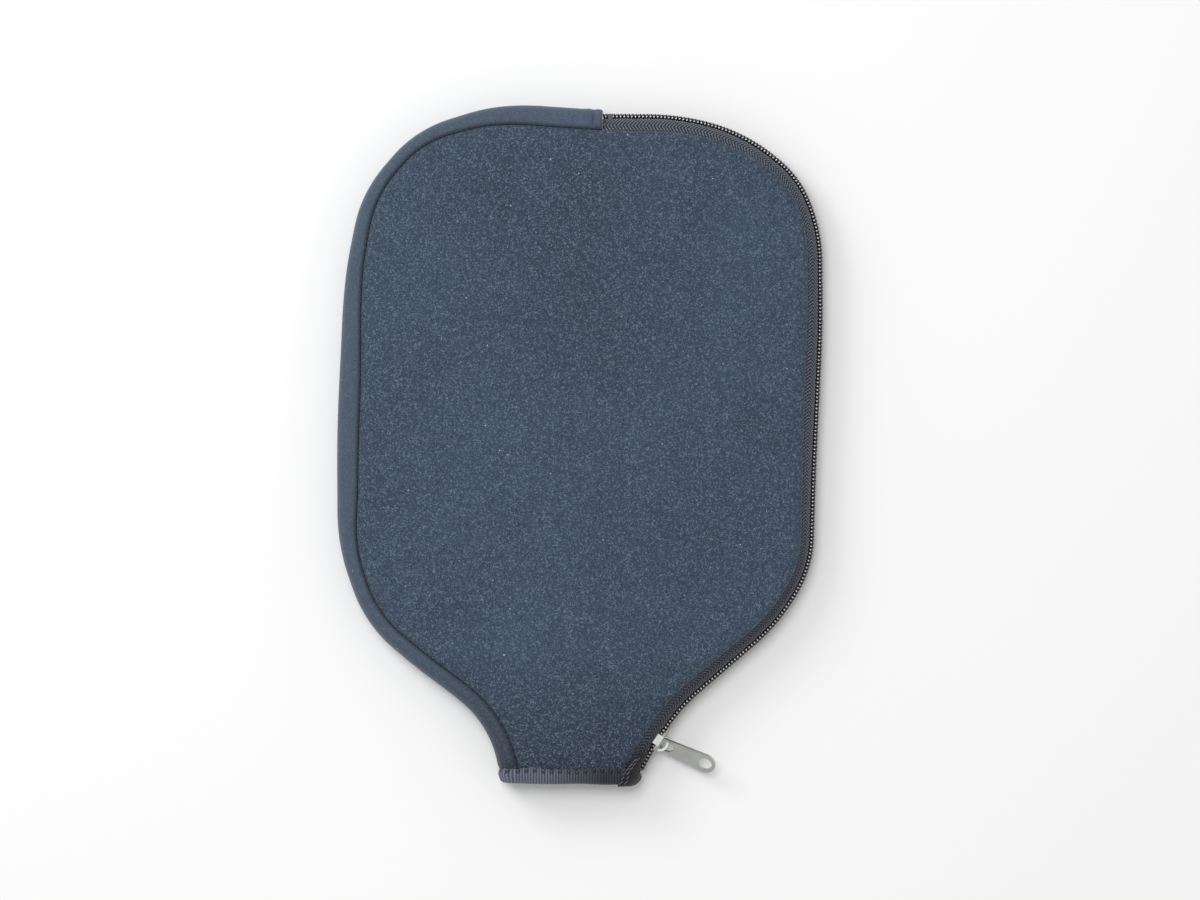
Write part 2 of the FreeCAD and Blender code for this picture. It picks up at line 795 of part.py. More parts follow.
SUBPARTS = [
    "back_panel",
    "front_panel_fixed",
    "front_panel_flap",
    "side_gusset",
    "gusset_binding_front",
    "gusset_binding_back",
    "zip_binding_front",
    "zip_binding_back",
    "zip_tape_front",
    "zip_tape_back",
    "zip_coil_front",
    "zip_coil_back",
    "coil_cord_front",
    "coil_cord_back",
    "zip_end_stop",
    "zip_top_stop_front",
    "zip_top_stop_back",
    "slider_body",
    "slider_pull",
    "mouth_binding_front",
    "mouth_binding_back",
    "mouth_thread_front",
    "mouth_thread_back",
    "gusset_thread_front",
    "gusset_thread_back",
    "zip_thread_front",
    "zip_thread_back",
    "hem_thread",
]


def check_and_write():
    """Writes each sub-part's shape, once every object has computed and is valid."""
    for item in doc.Objects:
        if "Invalid" in item.State or "Error" in item.State:
            raise RuntimeError("%s failed: %s" % (item.Name, item.State))
    os.makedirs("parts", exist_ok=True)
    for label in SUBPARTS:
        item = doc.getObjectsByLabel(label)[0]
        shape = item.Shape
        if shape.isNull() or not shape.isValid() or not shape.Solids:
            raise RuntimeError("%s has no valid solid" % label)
        shape.exportStep(os.path.join("parts", label + ".step"))
        box = shape.BoundBox
        print("%-22s solids %d volume %9.1f" % (label, len(shape.Solids), shape.Volume), box)


check_and_write()
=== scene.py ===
import math
import bpy
import bmesh
import numpy as np
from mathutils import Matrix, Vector, noise


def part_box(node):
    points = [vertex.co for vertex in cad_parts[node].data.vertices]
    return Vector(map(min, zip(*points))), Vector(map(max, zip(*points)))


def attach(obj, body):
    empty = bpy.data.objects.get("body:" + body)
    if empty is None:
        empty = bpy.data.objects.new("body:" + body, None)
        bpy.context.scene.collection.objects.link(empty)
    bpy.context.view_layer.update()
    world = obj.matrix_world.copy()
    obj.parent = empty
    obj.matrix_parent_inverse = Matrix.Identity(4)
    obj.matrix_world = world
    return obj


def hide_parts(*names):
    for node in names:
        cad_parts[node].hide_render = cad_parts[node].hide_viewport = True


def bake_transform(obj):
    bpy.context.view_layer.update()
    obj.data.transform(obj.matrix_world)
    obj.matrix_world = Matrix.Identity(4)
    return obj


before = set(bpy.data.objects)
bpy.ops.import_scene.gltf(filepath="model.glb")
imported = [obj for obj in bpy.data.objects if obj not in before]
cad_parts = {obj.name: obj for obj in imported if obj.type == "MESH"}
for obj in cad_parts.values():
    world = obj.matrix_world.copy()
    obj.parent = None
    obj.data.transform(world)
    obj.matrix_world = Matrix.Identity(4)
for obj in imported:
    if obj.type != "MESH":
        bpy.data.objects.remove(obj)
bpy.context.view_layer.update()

# The table that the case lies on, a pale matt sheet, and the room's light: a soft box
# above, another low at the left, a small lamp for the glints, and a dim even surround.
MM = 0.001
FLOOR_SIZE = 3.0
CAMERA_HEIGHT = 2.60
FRAME_WIDTH = 0.515
FRAME_CENTRE = (8.6 * MM, -2.1 * MM)
FRAMED_HEIGHT = 15 * MM
SENSOR = 36.0


def shade(red, green, blue):
    """A paint colour given in the usual 0 to 255 steps, as the linear values a shader takes."""
    steps = [value / 255 for value in (red, green, blue)]
    linear = [v / 12.92 if v < 0.04045 else ((v + 0.055) / 1.055) ** 2.4 for v in steps]
    return (*linear, 1.0)


def put(slot, value):
    """Links another node's socket to this slot, or sets the slot to a plain value."""
    if isinstance(value, bpy.types.NodeSocket):
        slot.id_data.links.new(value, slot)
    else:
        slot.default_value = value


def wire(tree, kind, inputs=None, **settings):
    """Adds a node, with its settings, its values and its links."""
    made = tree.nodes.new(kind)
    for name, value in settings.items():
        setattr(made, name, value)
    for name, value in (inputs or {}).items():
        put(made.inputs[name], value)
    return made


def finish_of(name, values):
    """A new material with its Principled BSDF's own values set."""
    made = bpy.data.materials.new(name)
    made.use_nodes = True
    shader = made.node_tree.nodes["Principled BSDF"]
    for socket, value in values.items():
        shader.inputs[socket].default_value = value
    return made, made.node_tree, shader


def link_mesh(name, bm, material, smooth=True):
    """Turns a finished bmesh into an object in the scene."""
    mesh = bpy.data.meshes.new(name)
    for face in bm.faces:
        face.smooth = smooth
    bm.to_mesh(mesh)
    bm.free()
    made = bpy.data.objects.new(name, mesh)
    made.data.materials.append(material)
    bpy.context.scene.collection.objects.link(made)
    return made


floor_bm = bmesh.new()
bmesh.ops.create_grid(floor_bm, x_segments=2, y_segments=2, size=FLOOR_SIZE / 2)
floor_finish = finish_of(
    "floor_sheet", {"Base Color": (0.97, 0.97, 0.97, 1), "Roughness": 0.9, "Specular IOR Level": 0.1}
)[0]
table = link_mesh("floor", floor_bm, floor_finish)

surround = bpy.data.worlds.new("surround")
surround.use_nodes = True
background = surround.node_tree.nodes["Background"]
background.inputs["Color"].default_value = (1, 1, 1, 1)
background.inputs["Strength"].default_value = 0.55
bpy.context.scene.world = surround
bpy.context.scene.view_settings.view_transform = "Standard"


def soft_box(name, place, size, power):
    """A square light that shines at the middle of the case."""
    light = bpy.data.lights.new(name, "AREA")
    light.size = size
    light.energy = power
    made = bpy.data.objects.new(name, light)
    made.location = place
    made.rotation_euler = (-Vector(place)).to_track_quat("-Z", "Y").to_euler()
    bpy.context.scene.collection.objects.link(made)


soft_box("soft_box_above", (-0.25, 0.35, 1.7), 0.6, 8.5)
soft_box("soft_box_left", (-1.0, 0.9, 1.0), 0.7, 7.5)
soft_box("spot_glint", (-0.1, 0.25, 2.2), 0.12, 3.0)

camera_data = bpy.data.cameras.new("camera")
camera_data.sensor_width = SENSOR
camera_data.lens = SENSOR * (CAMERA_HEIGHT - FRAMED_HEIGHT) / FRAME_WIDTH
camera_data.clip_end = 10
camera = bpy.data.objects.new("camera", camera_data)
camera.location = (*FRAME_CENTRE, CAMERA_HEIGHT)
bpy.context.scene.collection.objects.link(camera)
bpy.context.scene.camera = camera

# The front panel: 3 mm neoprene faced with heathered jersey on both sides, sewn all round
# and turned, so its edge rolls down into the seam. It is one sheet, cut finer along the
# line near its middle where it folds when the zip is open.
STEP = 0.25
GUSSET_CORNERS = [
    (9.8, 144.2, 0), (-33.0, 147.0, 95), (-71.0, 135.6, 54), (-94.0, 109.5, 54),
    (-102.0, 66.0, 240), (-105.1, 2.0, 600), (-104.2, -42.0, 90), (-91.5, -77.0, 60),
    (-61.5, -103.0, 150), (-40.0, -122.0, 45), (-34.5, -150.0, 0),
]
ZIP_CORNERS = [
    (9.8, 142.3, 0), (42.0, 142.3, 105), (71.0, 135.0, 75), (95.0, 115.5, 45),
    (104.3, 92.0, 70), (104.9, 52.0, 400), (101.4, -12.0, 900), (99.9, -52.0, 50),
    (86.0, -76.5, 90), (36.3, -119.8, 107), (20.0, -151.8, 0),
]
GUSSET_NUDGES = [
    (0, -0.2), (33, -0.1), (47, 0.3), (85, -0.2), (106, -0.6), (143, 0.3), (172, -0.4),
    (245, -0.4), (283, 0.6), (305, 0.6), (335, 0.2), (351, -1.4), (364, -1.6), (389, -1.6),
]
GUSSET_WIDTHS = [
    (0, 8.6), (19, 8.8), (40, 8.4), (53, 7.2), (71, 6.4), (87, 5.8), (103, 5.7), (121, 6.2),
    (151, 7.0), (163, 7.7), (206, 9.4), (250, 8.8), (272, 7.0), (288, 6.6), (308, 6.8),
    (327, 7.0), (354, 7.0), (369, 7.2), (379, 7.6), (389, 8.4),
]
ZIP_NUDGES = [
    (0, 0.2), (119, -0.1), (154, -0.3), (276, 0.6), (318, 0.2), (343, 0.0), (364, 1.1), (389, 1.4),
]
ZIP_WIDTHS = [
    (0, 7.5), (19, 8.0), (42, 7.3), (67, 7.0), (83, 6.3), (108, 6.1), (142, 6.6), (169, 7.0),
    (203, 6.3), (225, 5.9), (257, 5.8), (288, 6.0), (322, 6.6), (352, 7.2), (389, 7.2),
]
CASE_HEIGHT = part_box("side_gusset")[1].z / MM
PANEL_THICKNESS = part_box("back_panel")[1].z / MM
MOUTH_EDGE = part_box("mouth_binding_back")[0].y / MM
MOUTH_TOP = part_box("mouth_binding_back")[1].y / MM
PANEL_ROLL = ((0.2, 0.75), (0.35, 0.5), (0.55, 0.38), (0.9, 0.27), (1.4, 0.18), (2.2, 0.1))
SEAM_GAP = 0.4
PANEL_WALL = 1.0
PANEL_SPAN_X = (-103, 104)
PANEL_SPAN_Y = (-144, 140)
PANEL_GRID = 2.6
FOLD_GRID = 0.9
OUTLINE_STEP = 1.3
CLOTH_END = 1.2
SWELL_RUN = 16.0
WANDER_WIDE = 46
WANDER_FINE = 19
HELD_RUN = 9.0
DRAWN_FROM = 2.2
DRAWN_RUN = 2.4
FOLD_TOP = Vector((9.8, 135.8, 0))
FOLD_MOUTH = Vector((-21.0, -138.6, 0))
FOLD_BEFORE = 3.0
FOLD_AFTER = 10.0


def steps_along(points):
    """How far along a line each of its points is."""
    return np.concatenate(([0], np.cumsum(np.linalg.norm(np.diff(points, axis=0), axis=1))))


class Edge:
    """One side's outline from the top centre to the mouth: straight runs, and the arcs that
    round their corners. Distances along it, and out from it, are in mm."""

    def __init__(self, corners, turn, nudges, widths):
        places, last = [], Vector(corners[0][:2])
        for before, here, after in zip(corners, corners[1:], corners[2:]):
            corner, radius = Vector(here[:2]), here[2]
            back = (Vector(before[:2]) - corner).normalized()
            on = (Vector(after[:2]) - corner).normalized()
            half = back.angle(on) / 2
            start, end = corner + back * radius / math.tan(half), corner + on * radius / math.tan(half)
            centre = corner + (back + on).normalized() * radius / math.sin(half)
            places += self.straight(last, start) + self.arc(centre, start, end, radius)
            last = end
        places = np.array([*places, *self.straight(last, Vector(corners[-1][:2]))])
        along = steps_along(places)
        self.length = along[-1]
        self.s = np.arange(0, self.length, STEP)
        line = np.stack([np.interp(self.s, along, places[:, k]) for k in (0, 1)], axis=1)
        way = np.gradient(line, axis=0)
        way /= np.linalg.norm(way, axis=1)[:, None]
        self.out = np.stack([-way[:, 1], way[:, 0]], axis=1) * turn
        self.line = line + self.out * self.eased(nudges)[:, None]
        self.width = self.eased(widths)

    @staticmethod
    def straight(start, end):
        count = max(2, int((end - start).length / STEP))
        return [tuple(start.lerp(end, k / count)) for k in range(count)]

    @staticmethod
    def arc(centre, start, end, radius):
        first, last = start - centre, end - centre
        sweep = -first.angle_signed(last)
        count = max(2, int(abs(sweep) * radius / STEP))
        begin = math.atan2(first.y, first.x)
        turns = [begin + sweep * k / count for k in range(count)]
        return [(centre.x + radius * math.cos(a), centre.y + radius * math.sin(a)) for a in turns]

    def eased(self, table):
        """Values between those of a table, with its corners rounded off."""
        wide = 9.0
        spots = [self.s + shift for shift in np.linspace(-wide, wide, 9)]
        return np.mean([np.interp(spot, *zip(*table)) for spot in spots], axis=0)

    def at(self, s, values):
        return np.interp(s, self.s, values)

    def points(self, s, out, up):
        """Points in metres at distances s along, out from the edge and up from the table."""
        s, out, up = np.broadcast_arrays(s, out, up)
        x, y = (self.at(s, self.line[:, k]) + self.at(s, self.out[:, k]) * out for k in (0, 1))
        return np.stack([x, y, up], axis=-1) * MM

    def nearest(self, place):
        gap = self.line - np.array([place.x, place.y]) / MM
        return self.s[np.argmin((gap**2).sum(axis=1))]

    def where_y(self, level, out_share):
        """How far along the seam is when it comes down to this level."""
        seam = self.line[:, 1] - self.out[:, 1] * self.width * out_share
        half = len(seam) // 2
        return self.s[half + np.argmin(np.abs(seam[half:] - level))]


gusset_edge = Edge(GUSSET_CORNERS, -1, GUSSET_NUDGES, GUSSET_WIDTHS)
zip_edge = Edge(ZIP_CORNERS, 1, ZIP_NUDGES, ZIP_WIDTHS)
fold_way = (FOLD_MOUTH - FOLD_TOP).normalized()
fold_across = Vector((-fold_way.y, fold_way.x, 0))


def flap_fold(piece):
    """Bakes the piece's place into its mesh."""
    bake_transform(piece)


def joined(*parts):
    return np.concatenate(parts, axis=1)


def closed(outer, inner):
    """Out along one face and back along the other, to where it began."""
    return joined(outer, inner[:, ::-1], outer[:, :1])


def fuller(value, power):
    """A sine or cosine that is squared off by a power below 1."""
    return np.sign(value) * np.abs(value) ** power


def sheet_of(points, uv):
    """A bmesh grid bent to an array of points, with UVs in metres along and across it. Its
    first and last columns join, and its two ends are closed."""
    rows, columns = points.shape[:2]
    bm = bmesh.new()
    layer = bm.loops.layers.uv.new("UVMap")
    bmesh.ops.create_grid(bm, x_segments=rows - 1, y_segments=columns - 1, size=0.5)
    for vertex in bm.verts:
        i = round((vertex.co.x + 0.5) * (rows - 1))
        j = round((vertex.co.y + 0.5) * (columns - 1))
        vertex.co = points[i, j]
        for corner in vertex.link_loops:
            corner[layer].uv = uv[i, j]
    bmesh.ops.remove_doubles(bm, verts=bm.verts, dist=2e-7)
    bmesh.ops.holes_fill(bm, edges=[e for e in bm.edges if e.is_boundary], sides=0)
    bmesh.ops.recalc_face_normals(bm, faces=bm.faces)
    return bm


def swept(edge, stations, out, up):
    """A band along an edge: its section's out and up values may differ at each station."""
    stations = np.asarray(stations, float)
    points = edge.points(stations[:, None], out, up)
    across = steps_along(points[len(points) // 2])
    uv = np.stack(np.broadcast_arrays(stations[:, None] * MM, across[None, :]), axis=-1)
    return sheet_of(points, uv)


def spaced(start, end, step):
    return np.linspace(start, end, max(2, int(round((end - start) / step)) + 1))


def seam_outline():
    """The panels' outline, round the top seam and across the mouth, in mm."""
    low = MOUTH_EDGE + CLOTH_END
    left = spaced(0, gusset_edge.where_y(low, 1), OUTLINE_STEP)
    right = spaced(0, zip_edge.where_y(low, 1), OUTLINE_STEP)[::-1]
    down = gusset_edge.points(left, -gusset_edge.at(left, gusset_edge.width) - SEAM_GAP, 0)
    rise = zip_edge.points(right, -zip_edge.at(right, zip_edge.width), 0)
    count = int(np.linalg.norm(rise[0] - down[-1]) / (OUTLINE_STEP * MM))
    mouth = [down[-1] + (rise[0] - down[-1]) * k / count for k in range(1, count)]
    return np.concatenate([down, mouth, rise[:-1]]) / MM


def cut_grid(bm, bend):
    """Cuts the marked faces into a grid, finer beside the fold if they bend there."""
    lines = [(Vector((1, 0, 0)), x) for x in np.arange(*PANEL_SPAN_X, PANEL_GRID)]
    lines += [(Vector((0, 1, 0)), y) for y in np.arange(*PANEL_SPAN_Y, PANEL_GRID * 1.5)]
    if bend:
        first = fold_across.dot(FOLD_TOP)
        lines += [(fold_across, first + d) for d in np.arange(-FOLD_BEFORE, FOLD_AFTER, FOLD_GRID)]
    for normal, distance in lines:
        faces = [f for f in bm.faces if f.material_index == 1]
        edges = {e for f in faces for e in f.edges}
        corners = {v for f in faces for v in f.verts}
        bmesh.ops.bisect_plane(
            bm, geom=[*corners, *edges, *faces], plane_co=normal * distance, plane_no=normal, dist=0.02
        )
    for face in bm.faces:
        face.material_index = 0


def panel(name, material, crown, bend):
    """One padded panel, made as the front: a slab with rings that roll over at its edge."""
    outline = seam_outline()
    base = CASE_HEIGHT - PANEL_THICKNESS
    bm = bmesh.new()
    bottom = bm.faces.new([bm.verts.new((x, y, base)) for x, y, _ in outline])
    grown = bmesh.ops.extrude_face_region(bm, geom=[bottom], use_keep_orig=True)["geom"]
    top = next(g for g in grown if isinstance(g, bmesh.types.BMFace))
    bmesh.ops.translate(bm, verts=top.verts, vec=(0, 0, PANEL_WALL))
    bmesh.ops.recalc_face_normals(bm, faces=bm.faces)
    flat = outline[:, :2]
    along = np.roll(flat, -1, axis=0) - np.roll(flat, 1, axis=0)
    along /= np.linalg.norm(along, axis=1)[:, None]
    inward = np.stack([-along[:, 1], along[:, 0]], axis=1)
    ring = flat
    for inwards, rise in PANEL_ROLL:
        covered = top
        grown = bmesh.ops.extrude_face_region(bm, geom=[covered])["geom"]
        top = next(g for g in grown if isinstance(g, bmesh.types.BMFace))
        if covered.is_valid:
            bmesh.ops.delete(bm, geom=[covered], context="FACES_ONLY")
        for vertex in top.verts:
            k = np.argmin(np.abs(ring - vertex.co.xy).sum(axis=1))
            vertex.co += Vector((*(inward[k] * inwards), rise))
        ring = ring + inward * inwards
    top.material_index = bottom.material_index = 1
    cut_grid(bm, bend)
    places = np.array([v.co for v in bm.verts])
    gap = np.full(len(places), 1e9)
    for x, y, _ in outline[::2]:
        gap = np.minimum(gap, np.hypot(places[:, 0] - x, places[:, 1] - y))
    for vertex, away in zip(bm.verts, gap):
        x, y, z = vertex.co
        swell = crown * (1 - math.exp(-away / SWELL_RUN))
        wander = noise.noise(Vector((x / WANDER_WIDE, y / WANDER_WIDE, 3.1)))
        wander += 0.5 * noise.noise(Vector((x / WANDER_FINE, y / WANDER_FINE, 8.4)))
        wander *= crown * min(1.0, away / HELD_RUN)
        drawn = min(1.0, max(0.0, (MOUTH_TOP + DRAWN_FROM - y) / DRAWN_RUN))
        if z > base + PANEL_WALL / 2:
            vertex.co.z += (swell + 0.32 * wander) * (1 - drawn) - 0.75 * drawn
        else:
            vertex.co.z += (0.8 * swell + 0.2 * wander) * (1 - drawn) + 0.6 * drawn
    bmesh.ops.scale(bm, verts=bm.verts, vec=(MM, MM, MM))
    if not bend:
        bmesh.ops.scale(bm, verts=bm.verts, vec=(1, 1, -1))
        bmesh.ops.translate(bm, verts=bm.verts, vec=(0, 0, CASE_HEIGHT * MM))
    bmesh.ops.recalc_face_normals(bm, faces=bm.faces)
    return link_mesh(name, bm, material)


def group_of(name, takes, gives):
    """A shader node group with named sockets, and its two end nodes."""
    group = bpy.data.node_groups.new(name, "ShaderNodeTree")
    for way, sockets in (("INPUT", takes), ("OUTPUT", gives)):
        for socket, kind in sockets.items():
            group.interface.new_socket(socket, in_out=way, socket_type="NodeSocket" + kind)
    return group, group.nodes.new("NodeGroupInput").outputs, group.nodes.new("NodeGroupOutput").inputs


def calc(tree, operation, *values, clamp=False):
    """One sum on numbers, given as sockets or plain values."""
    made = tree.nodes.new("ShaderNodeMath")
    made.operation = operation
    made.use_clamp = clamp
    for slot, value in zip(made.inputs, values):
        put(slot, value)
    return made.outputs[0]


def times(tree, *values, clamp=False):
    return calc(tree, "MULTIPLY", *values, clamp=clamp)


def plus(tree, *values, clamp=False):
    return calc(tree, "ADD", *values, clamp=clamp)


def less(tree, *values, clamp=False):
    return calc(tree, "SUBTRACT", *values, clamp=clamp)


def mixed(tree, share, first, second):
    """Goes from one colour to another as share goes from 0 to 1."""
    made = wire(tree, "ShaderNodeMix", data_type="RGBA")
    for slot, value in ((0, share), (6, first), (7, second)):
        put(made.inputs[slot], value)
    return made.outputs[2]


def ramp(tree, value, start, slope):
    """Rises from 0 at the start, by this slope, up to 1."""
    return times(tree, less(tree, value, start), slope, clamp=True)


def object_place(tree):
    return wire(tree, "ShaderNodeTexCoord").outputs["Object"]


def axes_of(tree, vector):
    return wire(tree, "ShaderNodeSeparateXYZ", {"Vector": vector}).outputs


def speckle(tree, place, scale, detail=2.0, roughness=0.5):
    """Noise at a place, as its value and its colour."""
    values = {"Vector": place, "Scale": scale, "Detail": detail, "Roughness": roughness}
    return wire(tree, "ShaderNodeTexNoise", values).outputs


def raised(tree, shader, height, strength, distance):
    """Lets a height, this many mm at its full, catch the light."""
    bump = wire(tree, "ShaderNodeBump", {"Strength": strength, "Distance": distance * MM, "Height": height})
    put(shader.inputs["Normal"], bump.outputs[0])


YARN_SCALE = 2300
TANGLE_SCALE = 2600
FLECK_SCALE = 1900
GRAIN_SCALE = 420
PATCH_SCALE = 24
STRAY = 0.9 * MM
PALE_FROM = 0.66
DARK_FROM = 0.62
LINT_FROM = 0.985


def jersey_group():
    """Heathered jersey on foam: fine light and dark flecks of yarn, faint cloudy patches,
    a rare fleck of lint, and the small hills of the knit. A painted-shade input darkens it
    towards the dark yarn."""
    group, given, out = group_of(
        "heathered_jersey",
        {
            "Place": "Vector", "Body": "Color", "Pale yarn": "Color", "Dark yarn": "Color",
            "Flecks": "Float", "Patches": "Float", "Painted shade": "Float",
        },
        {"Colour": "Color", "Roughness": "Float", "Height": "Float"},
    )
    place, flecks, dark_yarn = given["Place"], given["Flecks"], given["Dark yarn"]
    tangle = speckle(group, place, TANGLE_SCALE, 1.0)[1]
    shift = wire(group, "ShaderNodeVectorMath", {0: tangle, 1: (0.5, 0.5, 0.5)}, operation="SUBTRACT")
    shift = wire(group, "ShaderNodeVectorMath", {0: shift.outputs[0], "Scale": STRAY}, operation="SCALE")
    astray = wire(group, "ShaderNodeVectorMath", {0: place, 1: shift.outputs[0]}, operation="ADD")
    yarn = wire(
        group, "ShaderNodeTexVoronoi", {"Vector": astray.outputs[0], "Scale": YARN_SCALE, "Randomness": 1.0}
    )
    fleck = speckle(group, place, FLECK_SCALE, 2.0, 0.7)[0]
    patch = speckle(group, place, PATCH_SCALE, 3.0)[0]
    grain = speckle(group, place, GRAIN_SCALE, 1.0)[0]
    pick = wire(group, "ShaderNodeSeparateColor", {"Color": yarn.outputs["Color"]}).outputs
    pale = ramp(group, pick[0], PALE_FROM, 3.0)
    dark = ramp(group, pick[1], DARK_FROM, 2.6)
    soft = times(group, less(group, fleck, 0.5), 3.0)
    cluster = times(group, less(group, grain, 0.5), 0.8)
    cluster = plus(group, cluster, 0.85, clamp=True)
    clouds = times(group, less(group, patch, 0.5), given["Patches"])
    light_share = times(group, times(group, pale, cluster), flecks, clamp=True)
    dark_share = times(group, dark, flecks, clamp=True)
    depth = plus(group, times(group, soft, 0.22), plus(group, clouds, 0.2), clamp=True)
    body = mixed(group, depth, given["Body"], dark_yarn)
    # Painted shade: the colour is darkened towards the dark yarn as much as the input asks.
    body = mixed(group, given["Painted shade"], body, dark_yarn)
    body = mixed(group, dark_share, body, dark_yarn)
    body = mixed(group, light_share, body, given["Pale yarn"])
    lint = calc(group, "GREATER_THAN", times(group, pick[2], pick[0]), LINT_FROM)
    body = mixed(group, times(group, lint, 0.8), body, shade(205, 210, 215))
    put(out["Colour"], body)
    put(out["Roughness"], plus(group, 0.74, times(group, soft, 0.05)))
    hills = plus(group, times(group, fleck, 0.6), times(group, grain, 0.7))
    put(out["Height"], hills)
    return group


jersey = jersey_group()
PAINTED_SHADE_FROM = -88
PAINTED_SHADE_RUN = 50
TOP_SHADE_MIDDLE = 100
TOP_SHADE_WIDTH = 22
TOP_SHADE_HEIGHT = 34


def jersey_finish(name, body, pale, dark, flecks, patches, neck, top_shade):
    """Jersey with painted shade: darker towards the mouth, and in a soft patch below the top centre."""
    material, tree, shader = finish_of(
        name, {"Specular IOR Level": 0.25, "Sheen Weight": 0.12, "Sheen Roughness": 0.5}
    )
    place = object_place(tree)
    axes = axes_of(tree, place)
    # Painted shade that deepens towards the mouth (neck), and a patch of painted shade below the top centre.
    low = ramp(tree, axes[1], PAINTED_SHADE_FROM * MM, -1 / (PAINTED_SHADE_RUN * MM))
    sideways = calc(tree, "DIVIDE", axes[0], TOP_SHADE_WIDTH * MM)
    upwards = calc(tree, "DIVIDE", less(tree, axes[1], TOP_SHADE_MIDDLE * MM), TOP_SHADE_HEIGHT * MM)
    squares = [calc(tree, "POWER", calc(tree, "ABSOLUTE", away), 2.0) for away in (sideways, upwards)]
    top_shade_share = calc(tree, "DIVIDE", top_shade, plus(tree, plus(tree, *squares), 1.0))
    values = {
        "Place": place, "Body": body, "Pale yarn": pale, "Dark yarn": dark, "Flecks": flecks,
        "Patches": patches, "Painted shade": plus(tree, times(tree, low, neck), top_shade_share),
    }
    cloth = wire(tree, "ShaderNodeGroup", values, node_tree=jersey)
    put(shader.inputs["Base Color"], cloth.outputs["Colour"])
    put(shader.inputs["Roughness"], cloth.outputs["Roughness"])
    raised(tree, shader, cloth.outputs["Height"], 0.5, 0.25)
    return material


# Its last two values are painted shade: towards the mouth, and in the patch below the top.
panel_jersey = jersey_finish(
    "panel_jersey", shade(59, 74, 92), shade(115, 131, 149), shade(32, 45, 59), 0.78, 0.85, 0.75, 0.5
)
front_panel = panel("front_panel", panel_jersey, 0.9, True)
flap_fold(front_panel)
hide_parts("front_panel_fixed", "front_panel_flap")

# The back panel: the same padded neoprene and jersey, cut and sewn like the front. It lies
# flat on the table, and is never folded.
back_panel = panel("back_panel_skin", panel_jersey, 0.0, False)
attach(back_panel, "case")
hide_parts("back_panel")

# The gusset: a strip of plainer, smoother neoprene round the closed side, rolled down into
# both seams. At the top its end is folded in and stitched down, which leaves a round ridge
# with a puckered groove beside it.
GUSSET_WALL = 3.0
GUSSET_SHOULDER = 1.5
GUSSET_TOP = 19.35
GUSSET_FULLNESS = 0.8
GUSSET_LEAST_REACH = 0.8
GUSSET_ROLL = ((-0.25, 17.1), (-0.05, 17.7), (0.3, 18.55), (0.85, 19.15))
GUSSET_GIRTH = 26
HEM_RIDGE = 3.3
HEM_RISE = 0.55
HEM_GROOVE = 0.75
HEM_STITCHED = 0.45
STITCH_PITCH = 2.4


def gusset_section(stations, inset, points):
    """A rounded section from the front seam to the back one, this far inside the outer face."""
    width = gusset_edge.at(stations, gusset_edge.width)[:, None]
    turn = np.linspace(math.pi / 2, -math.pi / 2, points)[None, :]
    reach = np.maximum(width - GUSSET_SHOULDER - inset, GUSSET_LEAST_REACH)
    rise = GUSSET_TOP - CASE_HEIGHT / 2 - inset
    out = -width + GUSSET_SHOULDER + reach * fuller(np.cos(turn), GUSSET_FULLNESS)
    up = CASE_HEIGHT / 2 + rise * fuller(np.sin(turn), GUSSET_FULLNESS)
    return np.broadcast_arrays(out, up)


def hem_height(stations, across):
    """How far the folded end stands proud of the band, or the stitched groove sinks."""
    s = stations[:, None]
    ridge = HEM_RISE * np.sqrt(np.clip(1 - ((s - HEM_RIDGE / 2) / (HEM_RIDGE / 2)) ** 2, 0, 1))
    ridge = np.where(s < HEM_RIDGE / 2, ridge - 1.1 * np.clip(1 - s / 0.8, 0, 1) ** 2, ridge)
    inner = np.clip(np.abs(across[None, :] - across[-1] / 2) / 4.5, 0, 1)
    ridge = ridge * (0.3 + 0.7 * inner)
    pucker = (0.7 + 0.3 * np.cos(across[None, :] * math.tau / STITCH_PITCH)) * inner
    groove = -HEM_GROOVE * pucker * np.exp(-((s - HEM_RIDGE - HEM_STITCHED) / 0.55) ** 2)
    swell = 0.25 * np.exp(-((s - HEM_RIDGE - 2.6) / 1.5) ** 2)
    return ridge + groove + swell


def gusset():
    """The band: its rolled edges, its outer face with the hem at the top end, and inside."""
    end = gusset_edge.where_y(MOUTH_EDGE + CLOTH_END, 0)
    stations = np.concatenate([np.arange(0, 7.5, 0.3), spaced(7.5, end, 1.5)])
    out, up = gusset_section(stations, 0, 41)
    width = gusset_edge.at(stations, gusset_edge.width)[:, None]
    lift = hem_height(stations, np.linspace(0, GUSSET_GIRTH, 41))
    middle = CASE_HEIGHT / 2
    lean = np.arctan2((up - middle) / 9.4, (out + width - GUSSET_SHOULDER) / 6.0)
    out, up = out + lift * np.cos(lean), up + lift * np.sin(lean)
    inner_out, inner_up = gusset_section(stations, GUSSET_WALL, 15)
    one = np.ones_like(width)
    start_out = joined(*[-width + a for a, _ in GUSSET_ROLL])
    start_up = joined(*[one * b for _, b in GUSSET_ROLL])
    all_out = closed(joined(start_out, out, start_out[:, ::-1]), inner_out)
    all_up = closed(joined(start_up, up, 2 * middle - start_up[:, ::-1]), inner_up)
    near_mouth = np.clip((MOUTH_TOP + 1.5 - gusset_edge.at(stations, gusset_edge.line[:, 1])) / 2.5, 0, 1)
    squeeze = 1 - 0.075 * near_mouth[:, None]
    all_up = middle + (all_up - middle) * squeeze
    all_out = all_out - 0.55 * near_mouth[:, None]
    return swept(gusset_edge, stations, all_out, all_up)


